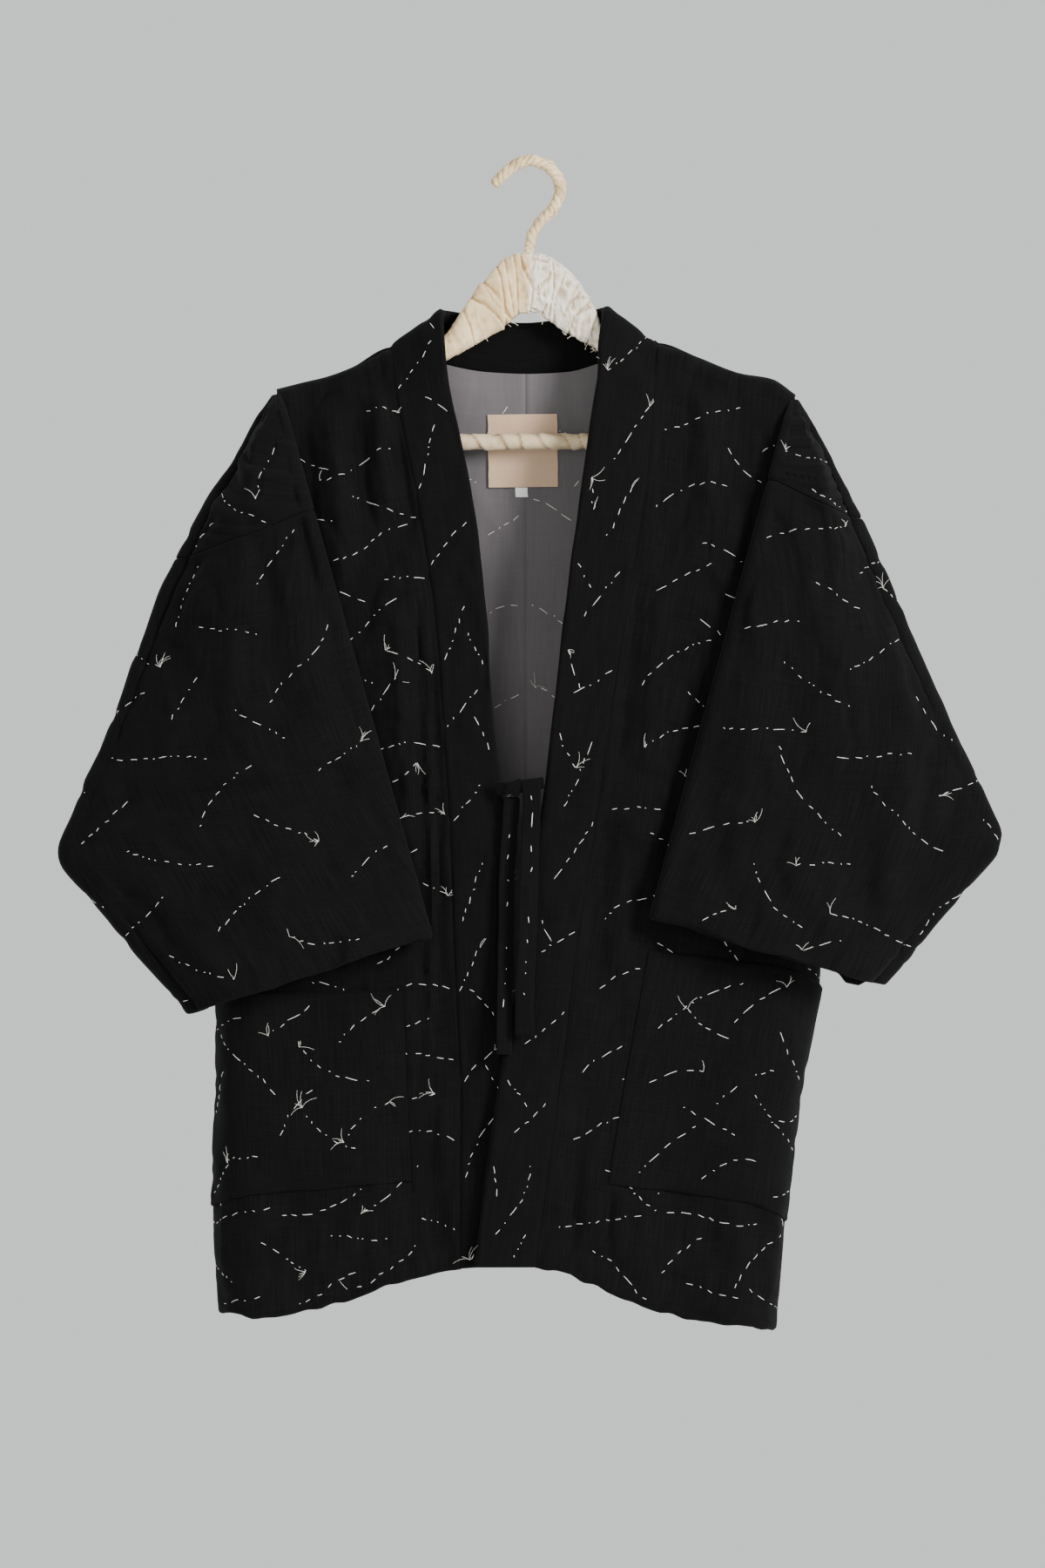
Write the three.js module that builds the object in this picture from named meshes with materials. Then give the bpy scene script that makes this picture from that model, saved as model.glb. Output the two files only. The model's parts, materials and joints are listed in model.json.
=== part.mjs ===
// A padded hanten (short quilted jacket) hanging on a cloth-wrapped hanger.
// Millimetres, +Z up, the front faces -Y, the origin is the top inside of the hook, where a rail bears.
import * as THREE from 'three';

// ---- driving sizes (mm) ----
const CLOTH = 6;            // padded cloth of body and sleeves, through both faces
const BAND = 9;             // padded collar band, through both faces
const POCKET = 4;           // patch pockets
const LINING = 1.6;         // back lining
const GAP = 0.3;            // free gap at every seam
const NOSE = 14;            // radius of the cloth where it folds over the shoulder
const FRONT_DROP = 44;      // how far the fronts bell forward of the shoulder fold
const BACK_DROP = 12;       // how far the backs bell rearward
const SIDE_Y = -18;         // depth of the side seam
const TURN = 34;            // how far in from the side the cloth starts to turn
const HOOK_R = 5.4;         // wrapped hook
const BAR_R = 6.4;          // wrapped bar
const ARM_Y = 8.5;          // half of the arms' depth
const TIE_W = 15, TIE_T = 2.4;
const U = 0.7;              // the outline tables are in steps of 0.7 mm: a = across, h = down, from 608, 190

const X = (a) => (a - 608) * U;
const Z = (h) => (190 - h) * U;

// ---- outline tables ----
const T = (cols, rows) => ({ cols, rows });
const ridge = T(['a', 'h'], [[318, 445], [350, 437], [375, 431], [405, 420], [450, 397], [520, 362], [608, 346], [690, 360], [755, 392], [800, 408], [850, 427], [885, 433], [912, 451]]);
const neck = T(['a', 'h'], [[318, 445], [350, 437], [375, 431], [405, 420], [450, 397], [480, 403], [515, 416], [560, 424], [605, 426], [650, 424], [690, 413], [725, 399], [755, 392], [800, 408], [850, 427], [885, 433], [912, 451]]);
const hem = T(['a', 'h'], [[247, 1508], [300, 1511], [350, 1506], [400, 1491], [440, 1478], [500, 1461], [547, 1453], [575, 1449], [612, 1453], [645, 1460], [680, 1474], [720, 1491], [770, 1508], [820, 1520], [888, 1527]]);
const backHem = T(['a', 'h'], [[247, 1508], [320, 1501], [400, 1482], [450, 1467], [530, 1447], [605, 1440], [680, 1463], [760, 1495], [820, 1511], [888, 1527]]);
const SIDES = {
  l: {
    sgn: -1, A: [318, 445], B: [66, 982], C: [220, 1162], D: [494, 1076],
    side: T(['h', 'a'], [[445, 318], [798, 288], [1150, 254], [1250, 252.5], [1330, 250], [1400, 248], [1440, 249.5], [1508, 255]]),
    bow: T(['t', 'a'], [[0, 0], [0.12, 6], [0.22, 14], [0.3, 20], [0.42, 21], [0.55, 15], [0.7, 7], [0.85, 3], [1, 0]]),
    seam: T(['h', 'a'], [[396, 450], [460, 458], [510, 468], [570, 480], [640, 492], [720, 503], [800, 509], [880, 514], [960, 519], [1050, 522], [1127, 525], [1250, 531], [1460, 530]]),
    fIn: 0.226, fOut: 0.265,
  },
  r: {
    sgn: 1, A: [912, 451], B: [1152, 967], C: [1010, 1130], D: [748, 1055],
    side: T(['h', 'a'], [[451, 912], [791, 940], [1116, 939], [1180, 929], [1250, 915.5], [1370, 901], [1440, 895], [1527, 888]]),
    bow: T(['t', 'a'], [[0, 0], [0.15, 6], [0.3, 8], [0.44, 7], [0.6, 1], [1, 0]]),
    seam: T(['h', 'a'], [[396, 755], [480, 747], [560, 740], [700, 718], [800, 702], [860, 693], [920, 686], [1018, 671], [1090, 659], [1175, 650], [1240, 641], [1460, 612]]),
    fIn: 0.169, fOut: 0.202,
  },
};
const F_B = 0.72, S_B = 0.45, F_U = 0.52; // ray of the outer corner, and of the underarm point and where it lies across

// ---- small tools ----
const lerp = (p, q, t) => p + (q - p) * t;
const clamp = (x, lo = 0, hi = 1) => Math.min(hi, Math.max(lo, x));
const smooth = (e0, e1, x) => { const t = clamp((x - e0) / (e1 - e0)); return t * t * (3 - 2 * t); };
const look = (table, v) => { // first column in, second out
  const r = table.rows;
  if (v <= r[0][0]) return r[0][1];
  for (let i = 1; i < r.length; i++) if (v <= r[i][0]) return lerp(r[i - 1][1], r[i][1], (v - r[i - 1][0]) / (r[i][0] - r[i - 1][0]));
  return r[r.length - 1][1];
};
const sub = (p, q) => [p[0] - q[0], p[1] - q[1], p[2] - q[2]];
const cross = (p, q) => [p[1] * q[2] - p[2] * q[1], p[2] * q[0] - p[0] * q[2], p[0] * q[1] - p[1] * q[0]];
const unit = (p) => { const l = Math.hypot(...p) || 1; return p.map((x) => x / l); };

// ---- depth of the hanging cloth (mid-surface) ----
const belly = (d, out, reach) => d < NOSE ? NOSE * Math.sqrt(Math.max(0, 1 - (1 - Math.max(d, 0) / NOSE) ** 2)) : NOSE + out * (1 - Math.exp(-(d - NOSE) / reach));
const below = (a, h) => (h - look(ridge, a)) * U - CLOTH / 2;
const lap = (a, h) => 12 * smooth(930, 1200, h) * smooth(790, 690, a) * smooth(540, 600, a); // the right edge lies over the left
const frontY = (a, h) => -belly(below(a, h), FRONT_DROP, 70);
const backY = (a, h) => belly(below(a, h), BACK_DROP, 40);

// ---- body panels ----
const wU = (S) => { const hs = look(S.side, 0); const hT = S.A[1] + CLOTH / 2 / U; const hB = hemSide(S); return (underarm(S)[1] - hT) / (hB - hT); };
const hemSide = (S) => (S.sgn < 0 ? 1508 : 1527);
const underarm = (S) => {
  const v = [0, 1].map((k) => (S.D[k] - S.A[k]) * (1 - S_B) + (S.B[k] - S.A[k]) / F_B * S_B);
  return [S.A[0] + F_U * v[0], S.A[1] + F_U * v[1]];
};
// k: 0 where the armhole is open, 1 where the side is closed
const closed = (S, w) => smooth(0.7 * wU(S), 0.93 * wU(S), w);
function panel(S, back, p, w) {
  // p in 0..1 across the flat of the panel, 1..2 round the turn at the side; w 0 at the fold, 1 at the hem
  const top = (a) => look(back ? neck : ridge, a) + CLOTH / 2 / U;
  const bot = (a) => look(back ? backHem : hem, a);
  const hs = lerp(S.A[1] + CLOTH / 2 / U, hemSide(S), w);
  const as = look(S.side, hs);
  const inTop = back ? 603.5 + S.sgn * (GAP / 2 / U) : look(S.seam, 0);
  const inBotH = bot(back ? inTop : look(S.seam, 1460));
  const hi = lerp(top(inTop), inBotH, w);
  const ai = back ? inTop : look(S.seam, hi) + S.sgn * (GAP / 2 / U);
  const aiB = back ? inTop : look(S.seam, 1460);
  const asB = look(S.side, hemSide(S));
  const turn = TURN / U;
  const k = closed(S, w), te = lerp(0.35, Math.PI / 2, k);
  const af = as - S.sgn * turn;
  let a, drop = 0;
  const yc = (aa, hh) => (back ? backY(aa, hh) : frontY(aa, hh) - lap(aa, hh));
  const hAt = (aa) => {
    const u = (aa - ai) / (as - ai);
    const aT = lerp(inTop, S.A[0], u), aB = lerp(aiB, asB, u);
    const devT = top(aT) - lerp(top(inTop), top(S.A[0]), u), devB = bot(aB) - lerp(bot(aiB), bot(asB), u);
    return lerp(hi, hs, u) + (1 - w) * devT + w * devB;
  };
  if (p <= 1) a = lerp(ai, af, p);
  else {
    const th = (p - 1) * te;
    a = as - S.sgn * turn * (1 - Math.sin(th) / Math.sin(te));
    const seamY = SIDE_Y + (back ? GAP : -GAP) * (0.8 + 0.7 * smooth(0.5, 0.3, w));
    const H = k * (seamY - yc(as, hAt(as)));
    drop = H * (1 - Math.cos(th)) / (1 - Math.cos(te));
  }
  const h = hAt(a);
  return [X(a), yc(a, h) + drop, Z(h)];
}

// ---- sleeve and dropped shoulder: rings round the arm, f 0 at the shoulder tip, 1 at the cuff ----
const COUNT = { turn: 4, ret: 3, fold: 4, face: 7, outer: 5, rear: 5 };
function rayEnds(S, f) {
  const pin = [0, 1].map((k) => lerp(S.A[k], S.D[k], f));
  const pout = [0, 1].map((k) => f < F_B ? S.A[k] + (S.B[k] - S.A[k]) * f / F_B : lerp(S.B[k], S.C[k], (f - F_B) / (1 - F_B)));
  if (f < F_B) pout[0] += S.sgn * look(S.bow, f / F_B); // the outer fold is a little full
  return [pin, pout];
}
function ring(S, f) {
  const [pin, pout] = rayEnds(S, f);
  const L = Math.hypot(pout[0] - pin[0], pout[1] - pin[1]) * U;
  const at = (s) => [lerp(pin[0], pout[0], s / L), lerp(pin[1], pout[1], s / L)];
  // where the ray meets the body's side
  let lo = 0, hi = L;
  for (let i = 0; i < 30; i++) { const m = (lo + hi) / 2, q = at(m); if ((q[0] - look(S.side, q[1])) * S.sgn < 0) lo = m; else hi = m; }
  const ss = (lo + hi) / 2;
  const face0 = (s) => { const q = at(clamp(s, 0, ss)); return frontY(q[0], q[1]); };
  const off = 9 * smooth(0, 0.06, f) + 9 * smooth(0.78, 0.95, f);
  const ret = (s) => face0(s) - off;
  const ri = lerp(3.4, 6.5, smooth(0.04, 0.2, f));
  const ro = lerp(5, 12, smooth(0.04, 0.25, f)) - 3 * smooth(0.85, 1, f);
  const yo = -6 - 20 * smooth(0.03, 0.3, f) - 28 * smooth(0.3, 0.75, f) - 10 * smooth(0.8, 1, f);
  const e = 10 * smooth(F_U - 0.1, F_U - 0.01, f);
  const hTop = S.A[1] + CLOTH / 2 / U;
  const w = clamp((at(ss)[1] - hTop) / (hemSide(S) - hTop)), k = closed(S, Math.min(w, wU(S)));
  let start, end, back;
  if (f < F_U) {
    const pf = panel(S, false, 2, w), pb = panel(S, true, 2, w);
    const away = GAP + 0.15 + 1.4 * smooth(0.3, 0.4, f) + 0.6 * (1 - smooth(0.05, 0.13, f));
    start = [ss + e + away, pf[1]]; end = [ss + e + away + 2 * (1 - smooth(0.06, 0.14, f)), pb[1]]; back = 6 + 22 * k;
  } else {
    const m = smooth(F_U, F_U + 0.16, f);
    const yc = lerp(SIDE_Y, -50, m);
    start = [Math.min(ss + e, L - ro - 2), yc]; end = start; back = 28;
  }
  const pts = []; // [along the ray, depth]
  const r3 = Math.max(ss - back, ri + 1);
  const c = [start, [start[0] + 11 - 3 * k, start[1]], [start[0] + 11 - 3 * k, ret(r3)], [r3, ret(r3)]];
  for (let i = 0; i < COUNT.turn; i++) {
    const t = i / COUNT.turn, q = 1 - t;
    pts.push([0, 1].map((j) => q ** 3 * c[0][j] + 3 * q * q * t * c[1][j] + 3 * q * t * t * c[2][j] + t ** 3 * c[3][j]));
  }
  for (let i = 0; i < COUNT.ret; i++) { const s = lerp(r3, ri, i / COUNT.ret); pts.push([s, ret(s)]); }
  const yi = ret(ri) - ri;
  for (let i = 0; i < COUNT.fold; i++) { const t = Math.PI * i / COUNT.fold; pts.push([ri - ri * Math.sin(t), yi + ri * Math.cos(t)]); }
  // the upper layer lies over the turned-under layer, clears its turn and then falls back to the outer fold
  const y0 = yi - ri, y1 = yo - ro, bulge = 6 * smooth(0.05, 0.4, f) + 6 * smooth(0.6, 0.95, f);
  const hold = clamp((ss + 13 - ri) / (L - ro - ri), 0, 0.8);
  for (let i = 0; i < COUNT.face; i++) {
    const t = i / COUNT.face;
    pts.push([lerp(ri, L - ro, t), lerp(y0, y1, smooth(hold, 1.15, t)) - bulge * Math.sin(Math.PI * t)]);
  }
  for (let i = 0; i < COUNT.outer; i++) { const t = Math.PI * i / COUNT.outer; pts.push([L - ro + ro * Math.sin(t), yo - ro * Math.cos(t)]); }
  for (let i = 0; i <= COUNT.rear; i++) { const t = i / COUNT.rear; pts.push([lerp(L - ro, end[0], t), lerp(yo + ro, end[1], smooth(0, 1, t))]); }
  return pts.map(([s, y]) => { const q = at(s); return { s: s / L, p: [X(q[0]), y, Z(q[1])] }; });
}
const NR = COUNT.turn + COUNT.ret + COUNT.fold + COUNT.face + COUNT.outer + COUNT.rear + 1;
function cut(S, i) { // the ray at which column i of the rings meets the armhole seam
  const b1 = COUNT.turn + COUNT.ret, b2 = b1 + COUNT.fold, b3 = b2 + COUNT.face, b4 = b3 + COUNT.outer;
  if (i <= b1) return lerp(F_U, S.fIn, i / b1);
  if (i <= b2) return S.fIn;
  if (i <= b3) return lerp(S.fIn, S.fOut, (i - b2) / (b3 - b2));
  if (i <= b4) return S.fOut;
  return lerp(S.fOut, F_U, ((i - b4) / (NR - 1 - b4)));
}

// ---- closed solids ----
function mesh(name, verts, faces, color, rough = 0.9) {
  const tri = [];
  for (const f of faces) { tri.push([f[0], f[1], f[2]]); if (f.length === 4) tri.push([f[0], f[2], f[3]]); }
  let vol = 0;
  for (const [i, j, k] of tri) { const a = verts[i], b = verts[j], c = verts[k]; vol += (a[0] * (b[1] * c[2] - b[2] * c[1]) + a[1] * (b[2] * c[0] - b[0] * c[2]) + a[2] * (b[0] * c[1] - b[1] * c[0])) / 6; }
  const g = new THREE.BufferGeometry();
  g.setAttribute('position', new THREE.BufferAttribute(new Float32Array(verts.flat()), 3));
  g.setIndex(tri.flatMap((t) => (vol < 0 ? [t[0], t[2], t[1]] : t)));
  g.computeVertexNormals();
  const m = new THREE.Mesh(g, new THREE.MeshStandardMaterial({ color, roughness: rough }));
  m.name = name;
  return m;
}
// a wall of thickness t about grid[i][j] (each {p, n}); loop: i closes on itself
function wall(name, grid, t, color, loop = false) {
  const ni = grid.length, nj = grid[0].length, V = [], F = [];
  const th = typeof t === 'function' ? t : () => t;
  for (const sgn of [0.5, -0.5]) grid.forEach((row, i) => row.forEach((q, j) => { const d = sgn * th(i, j); V.push([0, 1, 2].map((c) => q.p[c] + q.n[c] * d)); }));
  const id = (side, i, j) => side * ni * nj + (i % ni) * nj + j;
  const mi = loop ? ni : ni - 1;
  for (let i = 0; i < mi; i++) for (let j = 0; j < nj - 1; j++) {
    F.push([id(0, i, j), id(0, i + 1, j), id(0, i + 1, j + 1), id(0, i, j + 1)]);
    F.push([id(1, i, j), id(1, i, j + 1), id(1, i + 1, j + 1), id(1, i + 1, j)]);
  }
  for (let i = 0; i < mi; i++) {
    F.push([id(0, i, 0), id(1, i, 0), id(1, i + 1, 0), id(0, i + 1, 0)]);
    F.push([id(0, i, nj - 1), id(0, i + 1, nj - 1), id(1, i + 1, nj - 1), id(1, i, nj - 1)]);
  }
  if (!loop) for (let j = 0; j < nj - 1; j++) {
    F.push([id(0, 0, j), id(0, 0, j + 1), id(1, 0, j + 1), id(1, 0, j)]);
    F.push([id(0, ni - 1, j), id(1, ni - 1, j), id(1, ni - 1, j + 1), id(0, ni - 1, j + 1)]);
  }
  return mesh(name, V, F, color);
}
// grid from a function, with normals from its own differences
function gridOf(fn, us, vs, loop = false) {
  return us.map((u, i) => vs.map((v, j) => {
    const p = fn(u, v);
    const du = 1e-3, dv = 1e-3;
    const a = sub(fn(u + du, v), fn(u - du, v)), b = sub(fn(u, v + dv), fn(u, v - dv));
    return { p, n: unit(cross(a, b)) };
  }));
}
// normals from the neighbouring grid points
function withNormals(P, loop) {
  const ni = P.length, nj = P[0].length;
  return P.map((row, i) => row.map((p, j) => {
    const a = loop ? P[(i + ni - 1) % ni][j] : P[Math.max(i - 1, 0)][j], b = loop ? P[(i + 1) % ni][j] : P[Math.min(i + 1, ni - 1)][j];
    const c = row[Math.max(j - 1, 0)], d = row[Math.min(j + 1, nj - 1)];
    return { p, n: unit(cross(sub(b, a), sub(d, c))) };
  }));
}

const INK = 0x1c1c1f, GREY = 0x6e6a6c, CREAM = 0xe8dcc2, BEIGE = 0xc9b08e, WHITE = 0xe9e6df;
const root = new THREE.Group();
const W = [0, 0.0016, 0.006, 0.015, 0.035, 0.075, 0.12, 0.18, 0.235, 0.27, 0.305, 0.33, 0.4, 0.5, 0.62, 0.75, 0.88, 1];
const PF = [0, 0.2, 0.45, 0.7, 1, 1.25, 1.5, 1.75, 2];
const PB = [0, 0.12, 0.25, 0.36, 0.5, 0.62, 0.8, 1, 1.25, 1.5, 1.75, 2];

function panelNode(name, S, back) {
  const ps = back ? PB : PF;
  const P = W.map((w) => ps.map((p) => panel(S, back, p, w)));
  // the fold and the side seam have set directions, so that both panels end square to each other there
  const G = withNormals(P, false);
  G.forEach((row, i) => row.forEach((q, j) => {
    if (q.n[1] * (back ? 1 : -1) < 0 && Math.abs(q.n[1]) > 0.2) q.n = q.n.map((x) => -x);
  }));
  const outward = back ? 1 : -1;
  G[0].forEach((q, j) => { const a = 608 + q.p[0] / U; if (!back || (a < 450 || a > 755)) { q.n = [0, 0, 1]; q.p = [q.p[0], outward * GAP / 2, q.p[2]]; } else q.n = [0, 1, 0]; });
  G.forEach((row, i) => {
    if (closed(S, W[i]) >= 1) { const q = row[row.length - 1]; q.n = [S.sgn, 0, 0]; }
    row.forEach((q) => { if (i > 0 && q.n[1] * outward < -0.2) q.n = q.n.map((x) => -x); });
  });
  // one side of the wall is always the outside
  G.forEach((row, i) => row.forEach((q, j) => {
    const ref = i === 0 ? [0, outward * 0.5, 1] : [S.sgn * (ps[j] > 1 ? ps[j] - 1 : 0), outward, 0.4];
    if (q.n[0] * ref[0] + q.n[1] * ref[1] + q.n[2] * ref[2] < 0) q.n = q.n.map((x) => -x);
  }));
  root.add(wall(name, G, CLOTH, INK));
}

for (const [key, S] of Object.entries(SIDES)) {
  panelNode(`front_${key}`, S, false);
  panelNode(`back_${key}`, S, true);
  // dropped shoulder: open rings down to the armhole seam
  const fine = (i, f) => ring(S, f)[i].p;
  const cell = (i, f) => {
    let a = fine(Math.max(i - 1, 0), f), b = fine(Math.min(i + 1, NR - 1), f);
    if (i === 0 || i === NR - 1) { // at the edges the cloth runs straight on from the panels
      const [pin, pout] = rayEnds(S, f);
      const d = [(pout[0] - pin[0]) * U, 0, -(pout[1] - pin[1]) * U];
      if (i === 0) { a = [0, 0, 0]; b = d; } else { a = d; b = [0, 0, 0]; }
    }
    const c = fine(i, f - 0.006), d = fine(i, f + 0.006);
    return { p: fine(i, f), n: unit(cross(sub(b, a), sub(d, c))) };
  };
  const rows = 5, F0 = 0.05;
  const sh = [];
  for (let i = 0; i < NR; i++) { sh.push([]); for (let j = 0; j <= rows; j++) sh[i].push(cell(i, lerp(F0, Math.min(cut(S, i) - (i < 7 ? 0.007 : 0.0024), F_U - 0.035), (j / rows) ** 0.85))); }
  root.add(wall(`shoulder_${key}`, sh, CLOTH, INK));
  // sleeve: closed rings from the armhole seam to the cuff
  const sl = [], n2 = 10;
  for (let i = 0; i < NR - 1; i++) {
    sl.push([]);
    const f1 = cut(S, i) + (i > 0 && i < 5 ? 0.0085 : 0.0016);
    for (let j = 0; j <= n2; j++) {
      const f = lerp(f1, 1, j / n2);
      if (i > 0) sl[i].push(cell(i, f));
      else {
        const c = fine(0, f - 0.006), d = fine(0, f + 0.006);
        sl[i].push({ p: fine(0, f), n: unit(cross(sub(fine(1, f), fine(NR - 2, f)), sub(d, c))) });
      }
    }
  }
  root.add(wall(`sleeve_${key}`, sl, CLOTH, INK, true));
}

// ---- collar: one padded strip from hem to hem round the neck ----
// free edge (ai, hi, yi) and sewn edge (ao, ho, yo); yo null: on the fronts' own surface, yo 1: on the backs'
const strip = T(['ai', 'hi', 'yi', 'ao', 'ho', 'yo'], [
  [597, 1450, null, 530, 1455, null], [591, 1360, null, 530, 1352, null], [583, 1255, null, 531, 1250, null], [577, 1180, null, 528, 1178, null],
  [573, 1100, null, 524, 1090, null], [575, 1010, null, 521, 1005, null], [582, 955, null, 518, 950, null], [574, 890, null, 515, 890, null],
  [565, 800, null, 509, 800, null], [560, 715, null, 502, 710, null], [551, 630, null, 491, 635, null], [541, 560, null, 478, 565, null],
  [527, 495, null, 466, 505, null], [516, 440, null, 457, 455, null], [511, 400, -26, 452, 422, -15], [508, 360, -12, 452, 397, -3],
  [513, 356, 4, 466, 401, 1], [533, 358, 13, 490, 408, 1], [566, 365, 19, 535, 420, 1], [600, 368, 21, 600, 427, 1],
  [636, 365, 19, 668, 419, 1], [668, 357, 15, 714, 405, 1], [690, 352, 7, 738, 398, 1], [692, 357, -12, 753.5, 396.5, -3],
  [687, 395, -26, 753, 422, -15], [686, 430, null, 751, 452, null], [680, 470, null, 746, 495, null], [670, 540, null, 740, 560, null],
  [657, 630, null, 729, 640, null], [646, 720, null, 716, 715, null], [636, 810, null, 700, 810, null], [627, 890, null, 688, 890, null],
  [617, 955, null, 680, 955, null], [609, 1015, null, 671, 1015, null], [599, 1100, null, 658, 1095, null], [583, 1180, null, 649, 1178, null],
  [571, 1250, null, 640, 1245, null], [557, 1350, null, 626, 1350, null], [545, 1453, null, 612, 1453, null],
]);
{
  const rows = strip.rows, n = rows.length, mid = (n - 1) / 2;
  const prof = [[0, 0.42], [0.3, 0.5], [0.7, 0.5], [0.92, 0.45], [1, 0.12], [1, -0.12], [0.92, -0.45], [0.7, -0.5], [0.3, -0.5], [0, -0.42]]; // [sewn to free edge, share of the thickness]
  const secs = rows.map(([ai, hi, yi, ao0, ho, yo], i) => {
    const right = i > mid, ao = yo === null || yo < -10 ? look(SIDES[right ? 'r' : 'l'].seam, ho) : ao0;
    const y = (a, h) => frontY(a, h) - (right ? 12 * smooth(930, 1200, h) : 0);
    const O = [X(ao), yo === null ? y(ao, ho) : yo > 0 ? backY(ao, ho + 2) : yo, Z(ho)], I = [X(ai), yi === null ? y(ao, ho) - 2 : yi, Z(hi)];
    const w = unit(sub(I, O));
    return { O: O.map((c, k) => c + w[k] * (GAP + 0.5)), I };
  });
  const V = [], F = [], m = prof.length;
  secs.forEach((s, i) => {
    const a = secs[Math.max(i - 1, 0)], b = secs[Math.min(i + 1, n - 1)];
    const tan = sub(b.O.map((c, k) => c + b.I[k]), a.O.map((c, k) => c + a.I[k]));
    const nn = unit(cross(sub(s.I, s.O), tan));
    for (const [u, t] of prof) V.push([0, 1, 2].map((k) => lerp(s.O[k], s.I[k], u) + nn[k] * t * BAND * (i > 13 && i < 25 ? 0.8 : 1)));
  });
  for (let i = 0; i < n - 1; i++) for (let j = 0; j < m; j++) F.push([i * m + j, i * m + (j + 1) % m, (i + 1) * m + (j + 1) % m, (i + 1) * m + j]);
  F.push([...Array(m).keys()].reverse(), [...Array(m).keys()].map((k) => (n - 1) * m + k));
  const G = [];
  for (const f of F) if (f.length > 4) for (let k = 1; k < f.length - 1; k++) G.push([f[0], f[k], f[k + 1]]); else G.push(f);
  root.add(mesh('collar', V, G, INK));
}

// ---- patch pockets: the front's own surface moved out ----
function patch(name, corners, lift, thick, color, nu = 4, nv = 4, depth = (a, h) => frontY(a, h) - lap(a, h)) {
  const fn = (u, v) => {
    const a = lerp(lerp(corners[0][0], corners[1][0], u), lerp(corners[3][0], corners[2][0], u), v);
    const h = lerp(lerp(corners[0][1], corners[1][1], u), lerp(corners[3][1], corners[2][1], u), v);
    return [X(a), depth(a, h) - lift, Z(h)];
  };
  const us = [...Array(nu + 1).keys()].map((i) => i / nu), vs = [...Array(nv + 1).keys()].map((i) => i / nv);
  root.add(wall(name, gridOf(fn, us, vs), thick, color));
}
// inner edge from top to bottom (a, h), and the heights of the outer corners, which lie round the turn at the side
function pocket(name, S, top, bottom, outTop, outBottom, lift) {
  const rows = 5;
  const hOf = (p, w) => 190 - panel(S, false, p, w)[2] / U;
  const aOf = (p, w) => 608 + panel(S, false, p, w)[0] / U;
  const solve = (f, v, lo, hi) => { const up = f(hi) > f(lo); for (let i = 0; i < 36; i++) { const m = (lo + hi) / 2; if ((f(m) < v) === up) lo = m; else hi = m; } return (lo + hi) / 2; };
  const G = [];
  for (let j = 0; j <= rows; j++) {
    const t = j / rows, a = lerp(top[0], bottom[0], t), h = lerp(top[1], bottom[1], t), ho = lerp(outTop, outBottom, t);
    let pin = 0.3;
    for (let k = 0; k < 6; k++) { const w = solve((x) => hOf(pin, x), h, 0, 1); pin = solve((x) => aOf(x, w), a, 0, 1); }
    const ps = [pin, lerp(pin, 1, 0.33), lerp(pin, 1, 0.66), 1, 1.25, 1.5, 1.75];
    G.push(ps.map((p, i) => {
      const w = solve((x) => hOf(p, x), lerp(h, ho, i / (ps.length - 1)), 0, 1);
      const du = sub(panel(S, false, p + 1e-3, w), panel(S, false, p - 1e-3, w)), dw = sub(panel(S, false, p, w + 1e-3), panel(S, false, p, w - 1e-3));
      let n = unit(cross(du, dw));
      if (n[1] > 0 || (Math.abs(n[1]) < 0.3 && n[0] * S.sgn < 0)) n = n.map((x) => -x);
      return { p: panel(S, false, p, w).map((x, k) => x + n[k] * lift), n };
    }));
  }
  root.add(wall(name, G, POCKET, INK));
}
const onFront = CLOTH / 2 + 3 * GAP + POCKET / 2;
pocket('pocket_r', SIDES.r, [744, 1090], [698, 1357], 1131, 1402, onFront + 1.1);
pocket('pocket_l', SIDES.l, [463, 1136], [473, 1355], 1140, 1385, onFront);

// ---- back lining, in two halves ----
for (const [key, S] of Object.entries(SIDES)) {
  const inset = CLOTH / 2 + GAP + LINING / 2 + 0.35;
  const fn = (u, v) => {
    const w = 0.975 * lerp(lerp(0.004, 0.03, smooth(0.5, 0.66, u)), 1, v), q = panel(S, true, lerp(0.0, 0.93, u), w);
    const a0 = 603.5;
    const x = X(a0 + S.sgn * GAP) + (q[0] - X(a0)) * 1;
    return [x, q[1] - inset, q[2]];
  };
  const us = [0, 0.15, 0.3, 0.45, 0.6, 0.8, 1], vs = [0, 0.015, 0.03, 0.06, 0.1, 0.16, 0.25, 0.4, 0.6, 0.8, 1];
  root.add(wall(`lining_${key}`, gridOf(fn, us, vs), LINING, GREY));
}
const lin = (a, h) => backY(a, h) - CLOTH / 2 - 2 * GAP - LINING - 0.4;
patch('label', [[560, 474], [640, 473], [641, 557], [561, 558]], 0.9, 1, BEIGE, 2, 2, (a, h) => lin(600, h));
patch('size_tab', [[592, 560], [606, 560], [606, 569], [592, 569]], 0.9, 0.8, WHITE, 1, 1, (a, h) => lin(600, h));

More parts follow.
